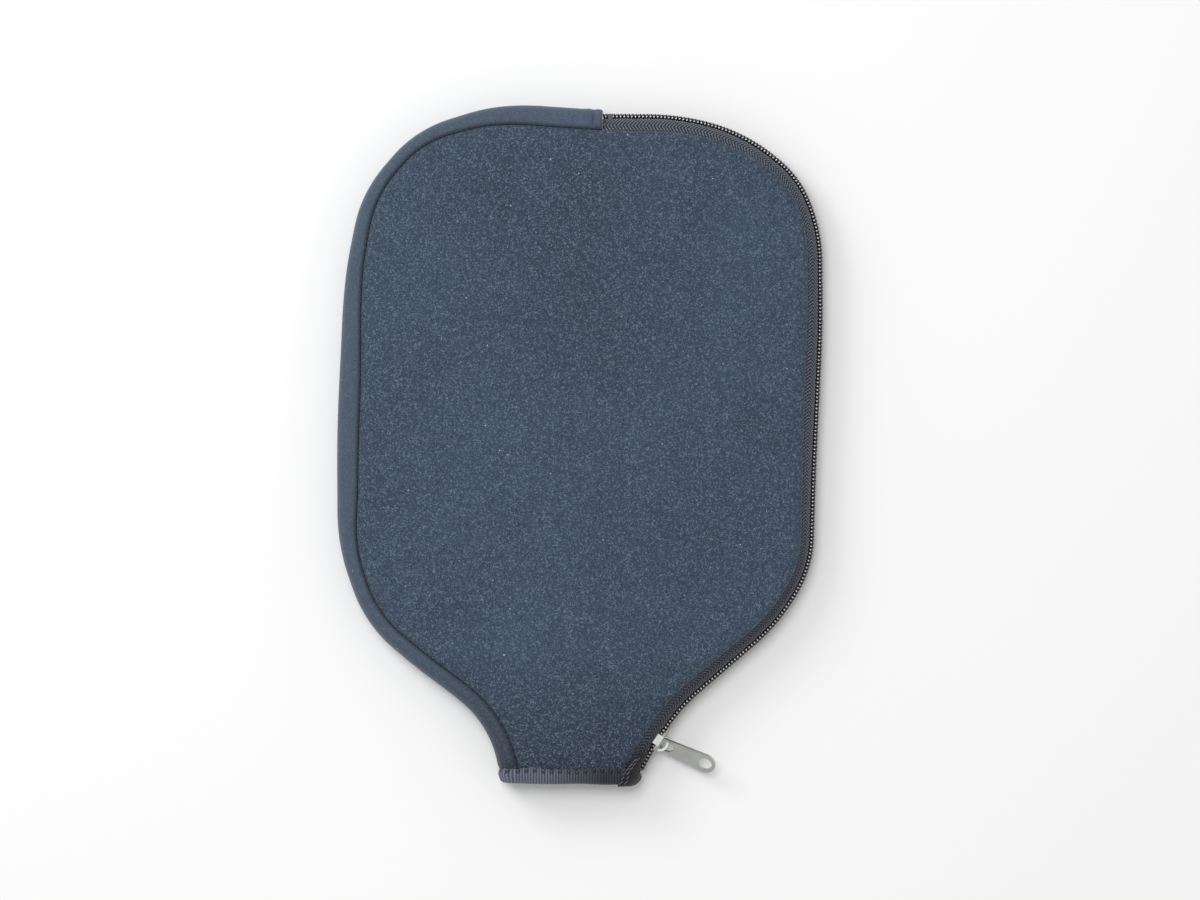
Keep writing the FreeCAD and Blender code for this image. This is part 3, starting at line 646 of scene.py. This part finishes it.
# Its last two values are painted shade: towards the mouth, and none below the top.
gusset_jersey = jersey_finish(
    "gusset_jersey", shade(75, 90, 107), shade(116, 131, 150), shade(40, 46, 58), 0.32, 0.35, 0.8, 0.0
)
gusset_band = link_mesh("gusset_band", gusset(), gusset_jersey)
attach(gusset_band, "case")
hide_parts("side_gusset")

# The zip tapes: woven polyester, 0.5 mm thick, in a herringbone. Each comes from under its
# panel, turns over the edge and goes down to its row of coil.
TAPE_THICKNESS = 0.5
TAPE_FACE = -2.45
TAPE_UNDER = 6.0
TAPE_RISE = 0.55
TAPE_BEND = 4.4
TAPE_LEAST_BEND = 1.6
TAPE_LOW = 0.85
TAPE_START = 0.05


SIDES = (("front", True), ("back", False))


def row_side(front, up):
    """Heights for the front row, or the same ones mirrored for the back row."""
    return up if front else CASE_HEIGHT - up


def go_with(piece, front):
    """A front piece has its place baked into its mesh; a back piece is attached to the case."""
    if front:
        flap_fold(piece)
    else:
        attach(piece, "case")


def tape_section(stations, inset):
    """Down the coil's side, over the edge in an arc, and under the panel."""
    width = zip_edge.at(stations, zip_edge.width)[:, None]
    top = CASE_HEIGHT - PANEL_THICKNESS + TAPE_RISE
    bend = np.minimum(-width + 0.5, TAPE_FACE - TAPE_LEAST_BEND)
    turn = np.linspace(0, math.pi / 2, 13)[None, :]
    one = np.ones_like(width)
    out = bend + (TAPE_FACE - bend - inset) * np.cos(turn)
    up = top - TAPE_BEND + (TAPE_BEND - inset) * np.sin(turn) * one
    low = CASE_HEIGHT / 2 + TAPE_LOW
    start = out[:, :1]
    all_out = joined(start, start, out, bend - TAPE_UNDER * 0.25, bend - TAPE_UNDER)
    under = one * (top - inset), one * (top - TAPE_RISE - inset)
    all_up = joined(one * low, one * (low + TAPE_LEAST_BEND), up, *under)
    return all_out, all_up


def tape(front):
    """A tape that is finely cut where the neck of the zip bends, and closed round its edges."""
    end = zip_edge.where_y(MOUTH_EDGE + 2.6, 0.3)
    stations = np.concatenate([np.arange(TAPE_START, 16, 0.9), spaced(16, end, 1.4)])
    out, up = tape_section(stations, 0)
    inner_out, inner_up = tape_section(stations, TAPE_THICKNESS)
    return swept(zip_edge, stations, closed(out, inner_out), row_side(front, closed(up, inner_up)))


KNOT_PITCH = 0.55 * MM
FIBRE_SCALE = 1300
FIBRE_ROUGHNESS = 0.5
FLOAT_LEAN = 0.9


def herringbone_group():
    """Herringbone weave on UVs in metres: slanting floats of yarn that turn back at each
    stripe, with a painted highlight on their crowns and painted shade between."""
    group, given, out = group_of(
        "herringbone",
        {
            "Weave": "Vector", "Pitch": "Float", "Stripe": "Float", "Highlit crown": "Color",
            "Shaded valley": "Color",
        },
        {"Colour": "Color", "Height": "Float"},
    )
    axes = axes_of(group, given["Weave"])
    zigzag = calc(group, "PINGPONG", axes[1], given["Stripe"])
    lean = times(group, zigzag, FLOAT_LEAN)
    turn = calc(group, "DIVIDE", less(group, axes[0], lean), given["Pitch"])
    wave = times(group, calc(group, "SINE", times(group, turn, math.tau)), 0.5)
    crown = calc(group, "POWER", plus(group, wave, 0.5, clamp=True), 1.5)
    across = calc(group, "SINE", times(group, axes[1], math.tau / KNOT_PITCH))
    knots = plus(group, times(group, across, 0.5), 0.5, clamp=True)
    fuzz = speckle(group, given["Weave"], FIBRE_SCALE)[0]
    rough = times(group, less(group, fuzz, 0.5), FIBRE_ROUGHNESS)
    level = times(group, crown, plus(group, 0.55, times(group, knots, 0.45)))
    share = plus(group, level, times(group, rough, 2.0), clamp=True)
    # Painted highlight and shade: the weave's crowns take the highlit colour and its valleys the shaded one.
    put(out["Colour"], mixed(group, share, given["Shaded valley"], given["Highlit crown"]))
    put(out["Height"], plus(group, level, rough))
    return group


herringbone = herringbone_group()


def woven_finish(name, crown, shaded_valley, pitch, stripe, depth=0.3):
    """A woven strip: its painted-highlight colour for the crowns and painted-shade colour for
    the valleys, and its pitch, stripe and depth in mm.
    """
    material, tree, shader = finish_of(
        name, {"Roughness": 0.62, "Specular IOR Level": 0.3, "Sheen Weight": 0.08}
    )
    values = {
        "Weave": wire(tree, "ShaderNodeUVMap", uv_map="UVMap").outputs[0], "Highlit crown": crown,
        "Shaded valley": shaded_valley, "Pitch": pitch * MM, "Stripe": stripe * MM,
    }
    cloth = wire(tree, "ShaderNodeGroup", values, node_tree=herringbone)
    put(shader.inputs["Base Color"], cloth.outputs["Colour"])
    raised(tree, shader, cloth.outputs["Height"], 0.8, depth)
    return material


FLOAT_HIGHLIGHT_FROM = 7.9
FLOAT_HIGHLIGHT_RUN = 0.8
TAPE_SHADE_FROM = -15
TAPE_SHADE_RUN = 50


def tape_finish():
    """The tape's herringbone, with a painted highlight on its floats beside the panel, and
    painted shade that darkens the tape towards the mouth."""
    material = woven_finish("tape_weave", shade(116, 124, 140), shade(20, 24, 34), 1.5, 3.6)
    tree = material.node_tree
    cloth = next(n for n in tree.nodes if n.bl_idname == "ShaderNodeGroup")
    uv = next(n for n in tree.nodes if n.bl_idname == "ShaderNodeUVMap").outputs[0]
    across = axes_of(tree, uv)[1]
    height = axes_of(tree, object_place(tree))[1]
    # Painted highlight on the floats beside the panel.
    beside = ramp(tree, across, FLOAT_HIGHLIGHT_FROM * MM, 1 / (FLOAT_HIGHLIGHT_RUN * MM))
    floats = times(tree, beside, ramp(tree, cloth.outputs["Height"], 0.45, 1.6))
    low = ramp(tree, height, TAPE_SHADE_FROM * MM, -1 / (TAPE_SHADE_RUN * MM))
    colour = mixed(tree, floats, cloth.outputs["Colour"], shade(168, 175, 190))
    # Painted shade: the tape is darkened towards the mouth.
    dim = mixed(tree, times(tree, low, 0.5), colour, shade(26, 26, 32))
    put(tree.nodes["Principled BSDF"].inputs["Base Color"], dim)
    return material


tape_weave = tape_finish()
for side, front in SIDES:
    zip_tape = link_mesh("zip_tape_woven_" + side, tape(front), tape_weave)
    go_with(zip_tape, front)
    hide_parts("zip_tape_" + side)

# The zip coil: each row is one nylon monofilament wound round a cord and sewn to its tape.
# The heads of the two rows mesh half a pitch apart, up to where the slider stands.
COIL_PITCH = 1.6
COIL_WIRE = 0.31
COIL_START = 0.0
COIL_CROWN = 0.79
COIL_HEIGHT = 2.42
COIL_OPENING = 1.05
COIL_TURN = (
    (0.08, -0.38, 2.2), (0.13, -0.32, 1.2), (0.18, -0.48, 0.1), (0.27, -1.2, -0.3),
    (0.38, -1.92, 0.1), (0.46, -2.06, 1.2), (0.60, -1.98, 2.2), (COIL_CROWN, -1.3, COIL_HEIGHT),
)
COIL_END = 5.0
CORD_RADIUS = 0.5
CORD_LEVEL = 1.75


def tube(centres, radius, sides=6, count=None):
    """A round tube along points in metres, without twist, closed at both ends. Its UVs run
    along it in metres, or in the counts given for its points."""
    centres = np.asarray(centres, float)
    way = np.gradient(centres, axis=0)
    way /= np.linalg.norm(way, axis=1)[:, None]
    normal = np.cross(way[0], (0.3, 0.2, 1.0))
    rings = np.zeros((len(centres), sides + 1, 3))
    turns = np.linspace(0, math.tau, sides + 1)
    radii = np.broadcast_to(radius, len(centres))
    for k, (centre, along) in enumerate(zip(centres, way)):
        normal = normal - along * np.dot(normal, along)
        normal /= np.linalg.norm(normal)
        side = np.cross(along, normal)
        rings[k] = centre + radii[k] * (np.cos(turns)[:, None] * normal + np.sin(turns)[:, None] * side)
    steps = steps_along(centres)
    steps = steps if count is None else count
    uv = np.stack(np.broadcast_arrays(steps[:, None], turns[None, :] * radii.mean()), axis=-1)
    return sheet_of(rings, uv)


slider_low, slider_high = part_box("slider_body")
slider_stand = zip_edge.nearest((slider_low + slider_high) / 2)


def coil_centres(front):
    """A row's wire, turn after turn, lower on its tape above the slider, where the rows are
    apart; and the count of turns at each of its points."""
    end = zip_edge.where_y(MOUTH_EDGE + COIL_END, 0)
    first = COIL_START + (0 if front else COIL_PITCH / 2)
    turns = int((end - first) / COIL_PITCH)
    table = np.array(COIL_TURN)
    count = (np.arange(turns)[:, None] + table[None, :, 0]).ravel()
    along = first + COIL_PITCH * count
    out = np.tile(table[:, 1], turns)
    up = np.tile(table[:, 2], turns)
    apart = np.clip((along - slider_stand + 3) / 5, 0, 1)
    up = up + COIL_OPENING * apart * (1 - up / COIL_HEIGHT)
    return zip_edge.points(along, out, row_side(front, CASE_HEIGHT / 2 + up)), count


coil_nylon_painted_glints, coil_tree, coil_shader = finish_of(
    "coil_nylon_painted_glints", {"Specular IOR Level": 0.6, "Coat Weight": 0.3}
)
scuffs = speckle(coil_tree, object_place(coil_tree), 900)[0]
dull = plus(coil_tree, times(coil_tree, scuffs, 0.22), 0.1)
put(coil_shader.inputs["Roughness"], dull)
coil_uv = wire(coil_tree, "ShaderNodeUVMap", uv_map="UVMap").outputs[0]
# Painted glints: a pale dot is painted on the crown of each turn, where the lamp's highlight falls.
turned = axes_of(coil_tree, coil_uv)[0]
off_crown = less(coil_tree, calc(coil_tree, "FRACT", turned), COIL_CROWN)
off_crown = calc(coil_tree, "ABSOLUTE", off_crown)
painted_glint = less(coil_tree, 1.8, times(coil_tree, off_crown, 17.0), clamp=True)
nylon = mixed(coil_tree, scuffs, shade(10, 9, 13), shade(24, 23, 29))
put(coil_shader.inputs["Base Color"], mixed(coil_tree, painted_glint, nylon, shade(222, 222, 228)))
cord_weave = woven_finish("cord_fibre", shade(58, 56, 62), shade(24, 23, 28), 0.5, 0.4, 0.1)
for side, front in SIDES:
    centres, count = coil_centres(front)
    coil = link_mesh("zip_coil_wound_" + side, tube(centres, COIL_WIRE * MM, count=count), coil_nylon_painted_glints)
    reach = spaced(COIL_START + 0.4, zip_edge.where_y(MOUTH_EDGE + 5.6, 0), 1.5)
    filler = link_mesh(
        "filler_cord_" + side,
        tube(zip_edge.points(reach, -1.2, row_side(front, CASE_HEIGHT / 2 + CORD_LEVEL)), CORD_RADIUS * MM),
        cord_weave,
    )
    for piece, node, slot in ((coil, "zip_coil_", "zip_coil"), (filler, "coil_cord_", "filler_cord")):
        go_with(piece, front)
        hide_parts(node + side)

# The elastic binding of the mouth: a ribbed knitted strip folded over the raw edge, sewn
# through with a zigzag that draws it into small puckers. It runs from the right of the
# front, round the gusset's end, and along the back.
BINDING_THICKNESS = 0.8
RIB_PITCH = 1.2
RIB_HEIGHT = 0.13
PUCKER_PITCH = 3.6
PUCKER_DEPTH = 0.85
ZIGZAG_BELOW = 1.9
STRIP_FACE = 7
STRIP_HALF = 2.15
MOUTH_STEP = 0.5
MOUTH_ROUND = 0.85
ELASTIC_YARN = 0.42
SHADE_RIGHT_FROM = -16
SHADE_RIGHT_RUN = 26


def mouth_line():
    """The line of the mouth's edge, front right to back right, in mm: x and z, and which
    way is out of the case."""
    station = gusset_edge.where_y((MOUTH_EDGE + MOUTH_TOP) / 2, 0)
    outer_x = gusset_edge.at(station, gusset_edge.line[:, 0])
    width = gusset_edge.at(station, gusset_edge.width)
    right = zip_edge.where_y((MOUTH_EDGE + MOUTH_TOP) / 2, 1)
    right_x = zip_edge.at(right, zip_edge.line[:, 0]) - zip_edge.at(right, zip_edge.width) + 3.0
    bend_x = outer_x + width - 1.0
    reach, rise = bend_x - outer_x - 1.9, CASE_HEIGHT / 2 - PANEL_THICKNESS / 2
    turns = np.linspace(math.pi / 2, 3 * math.pi / 2, 60)
    front_x = spaced(bend_x, right_x, MOUTH_STEP)[::-1]
    back_x = spaced(bend_x, right_x - 4, MOUTH_STEP)
    round_x = bend_x + reach * fuller(np.cos(turns), MOUTH_ROUND)
    round_z = rise * fuller(np.sin(turns), MOUTH_ROUND)
    x = np.concatenate([front_x, round_x, back_x])
    z = np.concatenate([np.full(len(front_x), rise), round_z, np.full(len(back_x), -rise)])
    line = np.stack([x, z + CASE_HEIGHT / 2], axis=1)
    keep = np.concatenate(([True], np.linalg.norm(np.diff(line, axis=0), axis=1) > 0.05))
    return line[keep]


mouth_path = mouth_line()
mouth_steps = steps_along(mouth_path)
mouth_way = np.gradient(mouth_path, axis=0)
mouth_way /= np.linalg.norm(mouth_way, axis=1)[:, None]


def mouth_point(t, deep, y):
    """A point at t along the mouth, this far out from the middle of its edge's wall."""
    x, z = (np.interp(t, mouth_steps, mouth_path[:, k]) for k in (0, 1))
    way_x, way_z = (np.interp(t, mouth_steps, mouth_way[:, k]) for k in (0, 1))
    height = np.maximum(z - deep * way_x, 0.02 * (1 + deep))
    return np.stack(np.broadcast_arrays(x + deep * way_z, y, height), axis=-1) * MM


def mouth_top_at(t):
    """The strip's wavy upper edge."""
    puckers = 0.22 * np.cos(t * math.tau / PUCKER_PITCH)
    return MOUTH_TOP + 0.3 + 0.45 * np.sin(t / 5.3) + 0.3 * np.sin(t / 2.1 + 1.0) - puckers


def mouth_low_at(t):
    return MOUTH_EDGE + 0.9 - 0.75 * np.exp(-(((t - 9) / 9) ** 2)) + 0.25 * np.sin(t / 7.0)


def mouth_strip(start, end):
    """A length of the strip: down its ribbed face, round the edge and up inside, and then
    the same way back along its inner face."""
    t = spaced(start, end, RIB_PITCH / 6)[:, None]
    turn = np.linspace(0, math.pi, 9)[None, 1:-1]
    flat = np.linspace(0, 1, 12)[None, :]
    half, inside = STRIP_HALF, STRIP_HALF - BINDING_THICKNESS
    top, low = mouth_top_at(t), mouth_low_at(t)
    ridges = RIB_HEIGHT * np.cos(t * math.tau / RIB_PITCH)
    pucker = PUCKER_DEPTH * (0.5 + 0.5 * np.cos(t * math.tau / PUCKER_PITCH))
    dip = pucker * np.exp(-((flat * STRIP_FACE - ZIGZAG_BELOW) ** 2))
    bulge = 0.5 * np.sin(flat * math.pi)
    edge_roll = -0.5 * np.exp(-((flat / 0.05) ** 2))
    down = top + (low + half - top) * flat
    round_y = low + half - (half + ridges * 0.7) * np.sin(turn)
    back_y = low + half - inside * np.sin(turn)
    face = half + ridges + bulge - dip + edge_roll
    round_deep = (half + ridges * 0.7) * np.cos(turn)
    behind = -half - ridges * 0.5 - bulge[:, ::-1] * 0.3
    lining = np.full_like(down, inside)
    up = down[:, ::-1]
    y = closed(joined(down, round_y, up), joined(down, back_y, up))
    inner = joined(lining, inside * np.cos(turn) + 0 * t, -lining)
    deep = closed(joined(face, round_deep, behind), inner)
    points = mouth_point(t, deep, y)
    across = steps_along(points[0])
    uv = np.stack(np.broadcast_arrays(t * MM, across[None, :]), axis=-1)
    return sheet_of(points, uv)


def rib_finish():
    """Ribbed elastic with fine crossing yarn: painted highlight on the rib crowns and painted
    shade in the valleys, painted shade towards the right, and painted shade in the puckers.
    """
    material, tree, shader = finish_of(
        "rib_elastic", {"Roughness": 0.7, "Specular IOR Level": 0.25, "Sheen Weight": 0.15}
    )
    uv = wire(tree, "ShaderNodeUVMap", uv_map="UVMap").outputs[0]
    axes = axes_of(tree, uv)
    rib = calc(tree, "COSINE", times(tree, axes[0], math.tau / (RIB_PITCH * MM)))
    yarn = calc(tree, "SINE", times(tree, axes[1], math.tau / (ELASTIC_YARN * MM)))
    fuzz = speckle(tree, uv, 1500)[0]
    level = plus(tree, times(tree, rib, 0.34), times(tree, yarn, 0.1))
    share = plus(tree, plus(tree, level, 0.1), times(tree, fuzz, 0.7), clamp=True)
    along = axes_of(tree, object_place(tree))[0]
    # Painted shade: towards the right end the ribs take a shaded copy of their colours.
    shade_to_right = ramp(tree, along, SHADE_RIGHT_FROM * MM, 1 / (SHADE_RIGHT_RUN * MM))
    pale = mixed(tree, share, shade(52, 58, 72), shade(122, 130, 147))
    deep = mixed(tree, share, shade(25, 25, 30), shade(64, 65, 74))
    # Painted shade in the puckers along the zigzag row.
    pucker = calc(tree, "COSINE", times(tree, axes[0], math.tau / (PUCKER_PITCH * MM)))
    from_row = calc(tree, "ABSOLUTE", less(tree, axes[1], ZIGZAG_BELOW * MM))
    row = less(tree, 1.3, calc(tree, "DIVIDE", from_row, 1.0 * MM), clamp=True)
    pucker = times(tree, plus(tree, pucker, 0.5, clamp=True), row)
    sunk = times(tree, pucker, 0.6)
    ribs = mixed(tree, shade_to_right, pale, deep)
    put(shader.inputs["Base Color"], mixed(tree, sunk, ribs, shade(24, 26, 34)))
    raised(tree, shader, share, 0.6, 0.2)
    return material


rib_elastic = rib_finish()
mouth_half = mouth_steps[-1] * 0.5 - 1.0
strip_front = link_mesh("mouth_elastic_front", mouth_strip(0.0, mouth_half), rib_elastic)
strip_back = link_mesh("mouth_elastic_back", mouth_strip(mouth_half, mouth_steps[-1]), rib_elastic)
flap_fold(strip_front)
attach(strip_back, "case")
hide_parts("mouth_binding_front")
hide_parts("mouth_binding_back")

# The tape ends: at the mouth's right corner each zip tape is folded back over its panel
# and the elastic's end, and stitched down. They make a rounded corner, painted dark as shade.
TAPE_END_TOP = -131.5
TAPE_END_LOW = -146.4
TAPE_END_INNER = ((-133.6, 24.4), (-137.0, 21.4), (-140.8, 18.2), (-146.4, 16.0))
TAPE_END_CORNER = 4.6
TAPE_END_REACH = 8.0
TAPE_END_WALL = 0.8
TAPE_END_BASE = 12.0
TAPE_END_SWELL = 9.2
TAPE_END_FULLNESS = 1.75
BESIDE_COIL = 2.3
COIL_STOPS_AT = -142.0
# Painted shade: the same tape as the rest, in far darker colours.
tape_end_shaded_weave = woven_finish("tape_end_shaded_weave", shade(38, 35, 39), shade(15, 13, 16), 0.9, 6, 0.12)


def tape_end_point(down, share, lift=0.0):
    """A place on the folded end, in mm: down it from 0 to 1, and across it from its inner
    side to the coil or the corner."""
    down, share = np.broadcast_arrays(down, share)
    y = TAPE_END_TOP + (TAPE_END_LOW - TAPE_END_TOP) * down
    half = len(zip_edge.s) // 2
    edge_x = np.interp(-y, -zip_edge.line[half:, 1], zip_edge.line[half:, 0])
    past = np.clip((TAPE_END_LOW + TAPE_END_CORNER - y) / TAPE_END_CORNER, 0, 1)
    beside_coil = BESIDE_COIL * np.clip((y - COIL_STOPS_AT) / 1.4, 0, 1)
    outer_x = edge_x + 0.1 - TAPE_END_CORNER * (1 - np.sqrt(1 - past**2)) + 2.0 * past - beside_coil
    inner_y = TAPE_END_INNER[0][0] + (TAPE_END_LOW - TAPE_END_INNER[0][0]) * down
    inner_x = np.interp(-inner_y, *zip(*[(-row, x) for row, x in TAPE_END_INNER]))
    x = inner_x + (outer_x - inner_x) * share
    y = inner_y + (y - inner_y) * share
    away = np.clip((edge_x - x) / TAPE_END_REACH, 0, 1)
    curve = (1 - (1 - away) ** TAPE_END_FULLNESS) ** (1 / TAPE_END_FULLNESS)
    end_roll = 1.8 * np.clip(1 - (y - TAPE_END_LOW) / 1.5, 0, 1) ** 2
    ripple = 0.14 * np.sin(x * 1.1 + y * 0.8)
    up = TAPE_END_BASE + TAPE_END_SWELL * curve - end_roll + ripple + lift
    return x, y, up


def tape_end(front):
    """A folded end; the back one is flattened where it lies on the table."""
    down = np.linspace(0, 1, 30)[:, None]
    share = np.linspace(0, 1, 26)[None, :] ** 0.85
    x, y, up = tape_end_point(down, share)
    under = up - TAPE_END_WALL
    if not front:
        up, under = np.minimum(up, CASE_HEIGHT), np.minimum(under, CASE_HEIGHT - 0.4)
    x, y, up = closed(x, x), closed(y, y), row_side(front, closed(up, under))
    points = np.stack([x, y, up], axis=-1) * MM
    across = steps_along(points[12])
    uv = np.stack(np.broadcast_arrays(-y[:, :1] * MM, across[None, :]), axis=-1)
    return sheet_of(points, uv)


for side, front in SIDES:
    corner_piece = link_mesh("zip_tape_end_" + side, tape_end(front), tape_end_shaded_weave)
    go_with(corner_piece, front)

# The bindings inside: strips of woven nylon, folded over the raw edges of all four seams
# and sewn through, so that no cut foam shows in the open case.
BINDING_HALF = 2.5
BINDING_HALF_HEIGHT = 0.72
BINDING_FULLNESS = 0.6
BINDING_PUCKERS = 3.2
seam_weave = woven_finish("seam_weave", shade(58, 60, 68), shade(26, 27, 33), 1.1, 5, 0.15)
for node, edge, front, start, inset, sunk in (
    ("gusset_binding_front", gusset_edge, True, 0.8, 0.7, 0.0),
    ("gusset_binding_back", gusset_edge, False, 0.8, 0.7, 0.0),
    ("zip_binding_front", zip_edge, True, 2.0, 1.0, 0.6),
    ("zip_binding_back", zip_edge, False, 2.0, 1.0, 0.6),
):
    stations = spaced(start, edge.where_y(MOUTH_TOP + 3, 1), OUTLINE_STEP)
    top = CASE_HEIGHT - PANEL_THICKNESS - sunk
    width = edge.at(stations, edge.width)[:, None] + inset
    puckers = 0.12 * np.cos(stations * math.tau / BINDING_PUCKERS)[:, None]
    turn = np.linspace(0, math.tau, 17)[None, :]
    out = -width - BINDING_HALF + BINDING_HALF * fuller(np.cos(turn), BINDING_FULLNESS)
    up = top - 0.78 + (BINDING_HALF_HEIGHT + puckers) * fuller(np.sin(turn), BINDING_FULLNESS)
    strip = link_mesh(node + "_strip", swept(edge, stations, out, row_side(front, up)), seam_weave)
    go_with(strip, front and edge is zip_edge)
    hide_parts(node)

# The threads: bonded polyester, laid as one short stitch after another, each drawn down
# into the cloth at both its ends.
SEAM_STITCH_START = 4
SEAM_STITCH_END = 3
SEAM_DIP = (-0.35, 0.0, 0.08, 0.0, -0.35)
ZIGZAG_DIP = (-0.5, 0.05, 0.12, 0.1, 0.0, -0.5)
ZIGZAG_HIGH = 0.35
ZIGZAG_LOW = -2.1


def thread_of(name, values, scale, dark, pale):
    """Twisted thread, mottled by its plies."""
    material, tree, shader = finish_of(name, {"Sheen Weight": 0.2, **values})
    plies = speckle(tree, object_place(tree), scale, 1.0)[0]
    put(shader.inputs["Base Color"], mixed(tree, plies, dark, pale))
    return material


sewing_thread = thread_of("sewing_thread", {"Roughness": 0.55}, 3000, shade(26, 30, 38), shade(78, 86, 98))


def stitches(name, runs, radius=0.2, material=sewing_thread):
    """A row of stitches, each a short closed length of thread."""
    bm = bmesh.new()
    for run in runs:
        one = tube(run, radius * MM, 5)
        mesh = bpy.data.meshes.new("stitch")
        one.to_mesh(mesh)
        one.free()
        bm.from_mesh(mesh)
        bpy.data.meshes.remove(mesh)
    return link_mesh(name, bm, material)


def seam_stitches(edge, front, outwards, level, slant=0.0):
    """A seam's stitches, down to where the mouth's strip covers them."""
    end = edge.where_y(MOUTH_TOP + 0.6, 1) - SEAM_STITCH_END
    for first in np.arange(SEAM_STITCH_START, end, STITCH_PITCH):
        spots = first + np.linspace(0.2, STITCH_PITCH - 0.2, 5)
        out = -edge.at(spots, edge.width) + outwards + slant * np.linspace(-0.5, 0.5, 5)
        yield edge.points(spots, out, row_side(front, level + np.array(SEAM_DIP)))


for side, front in SIDES:
    sewn = stitches("gusset_stitches_" + side, seam_stitches(gusset_edge, front, 0.0, 18.0))
    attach(sewn, "case")
    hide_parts("gusset_thread_" + side)
    sewn = stitches("zip_stitches_" + side, seam_stitches(zip_edge, front, 0.5, 17.75, 0.5))
    go_with(sewn, front)
    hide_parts("zip_thread_" + side)


def hem_stitches():
    """The row that holds the gusset's folded end, sunk in its groove."""
    out, up = gusset_section(np.array([HEM_RIDGE + HEM_STITCHED]), 0.55, 61)
    for first in range(4, 54, 5):
        part = slice(first, first + 5)
        yield gusset_edge.points(HEM_RIDGE + HEM_STITCHED, out[0, part], up[0, part])


hem_sewn = stitches("hem_stitches", hem_stitches())
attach(hem_sewn, "case")
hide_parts("hem_thread")


def zigzag(start, end):
    """The binding's zigzag: up to its edge and down again with each stitch."""
    spots = np.arange(start, end, PUCKER_PITCH / 2)
    for k, (first, last) in enumerate(zip(spots, spots[1:])):
        t = np.linspace(first, last, 6)
        ends = (ZIGZAG_HIGH, ZIGZAG_LOW) if k % 2 else (ZIGZAG_LOW, ZIGZAG_HIGH)
        y = mouth_top_at(t) + np.linspace(*ends, 6)
        yield mouth_point(t, STRIP_HALF + 0.15 + np.array(ZIGZAG_DIP), y)


for side, span in (("front", (1.0, mouth_half)), ("back", (mouth_half, mouth_steps[-1] - 1))):
    sewn = stitches("mouth_zigzag_" + side, zigzag(*span), 0.16)
    go_with(sewn, side == "front")
    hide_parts("mouth_thread_" + side)

# The stitches that hold the folded tape ends: two slanting rows along their inner side, in
# a paler thread.
TAPE_END_DIP = (-0.3, 0.06, 0.12, 0.12, 0.06, -0.3)
pale_thread = thread_of("pale_thread", {"Roughness": 0.5}, 2500, shade(58, 58, 66), shade(126, 128, 138))


def tape_end_stitches(front):
    for row_share in (0.06, 0.3):
        for first in np.arange(0.08, 0.86, 0.145):
            down = first + np.linspace(0.0, 0.11, 6)
            share = row_share + np.linspace(0.10, -0.02, 6)
            x, y, up = tape_end_point(down, share, np.array(TAPE_END_DIP))
            up = up if front else np.minimum(up, CASE_HEIGHT - 0.05)
            yield np.stack([x, y, row_side(front, up)], axis=-1) * MM


for side, front in SIDES:
    sewn = stitches("tape_end_stitches_" + side, tape_end_stitches(front), 0.17, pale_thread)
    go_with(sewn, front)

# The slider, its pull and the stops, on the CAD's own shapes: die-cast zinc plated with
# nickel, slightly uneven, its colour blotched pale and dark by painted reflections, and
# stops moulded in black plastic onto the tapes.
nickel, nickel_tree, nickel_shader = finish_of("nickel_plate", {"Metallic": 0.9})
place = object_place(nickel_tree)
cast = speckle(nickel_tree, place, 700, 3.0)[0]
reflection_blotch = speckle(nickel_tree, place, 160)[0]
# Painted reflections: the plating's colour goes from dark to pale in blotches.
plate = mixed(nickel_tree, reflection_blotch, shade(168, 170, 166), shade(218, 220, 214))
dull = plus(nickel_tree, times(nickel_tree, cast, 0.3), 0.2)
put(nickel_shader.inputs["Base Color"], plate)
put(nickel_shader.inputs["Roughness"], dull)
raised(nickel_tree, nickel_shader, cast, 0.4, 0.06)
stop_plastic, stop_tree, stop_shader = finish_of("stop_plastic", {"Roughness": 0.4})
haze = speckle(stop_tree, object_place(stop_tree), 800)[0]
black = mixed(stop_tree, haze, shade(20, 19, 22), shade(38, 37, 42))
put(stop_shader.inputs["Base Color"], black)
for node, finish in (
    ("slider_body", nickel), ("slider_pull", nickel), ("zip_end_stop", stop_plastic),
    ("zip_top_stop_front", stop_plastic), ("zip_top_stop_back", stop_plastic),
):
    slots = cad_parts[node].material_slots
    if len(slots):
        slots[0].material = finish
    else:
        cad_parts[node].data.materials.append(finish)
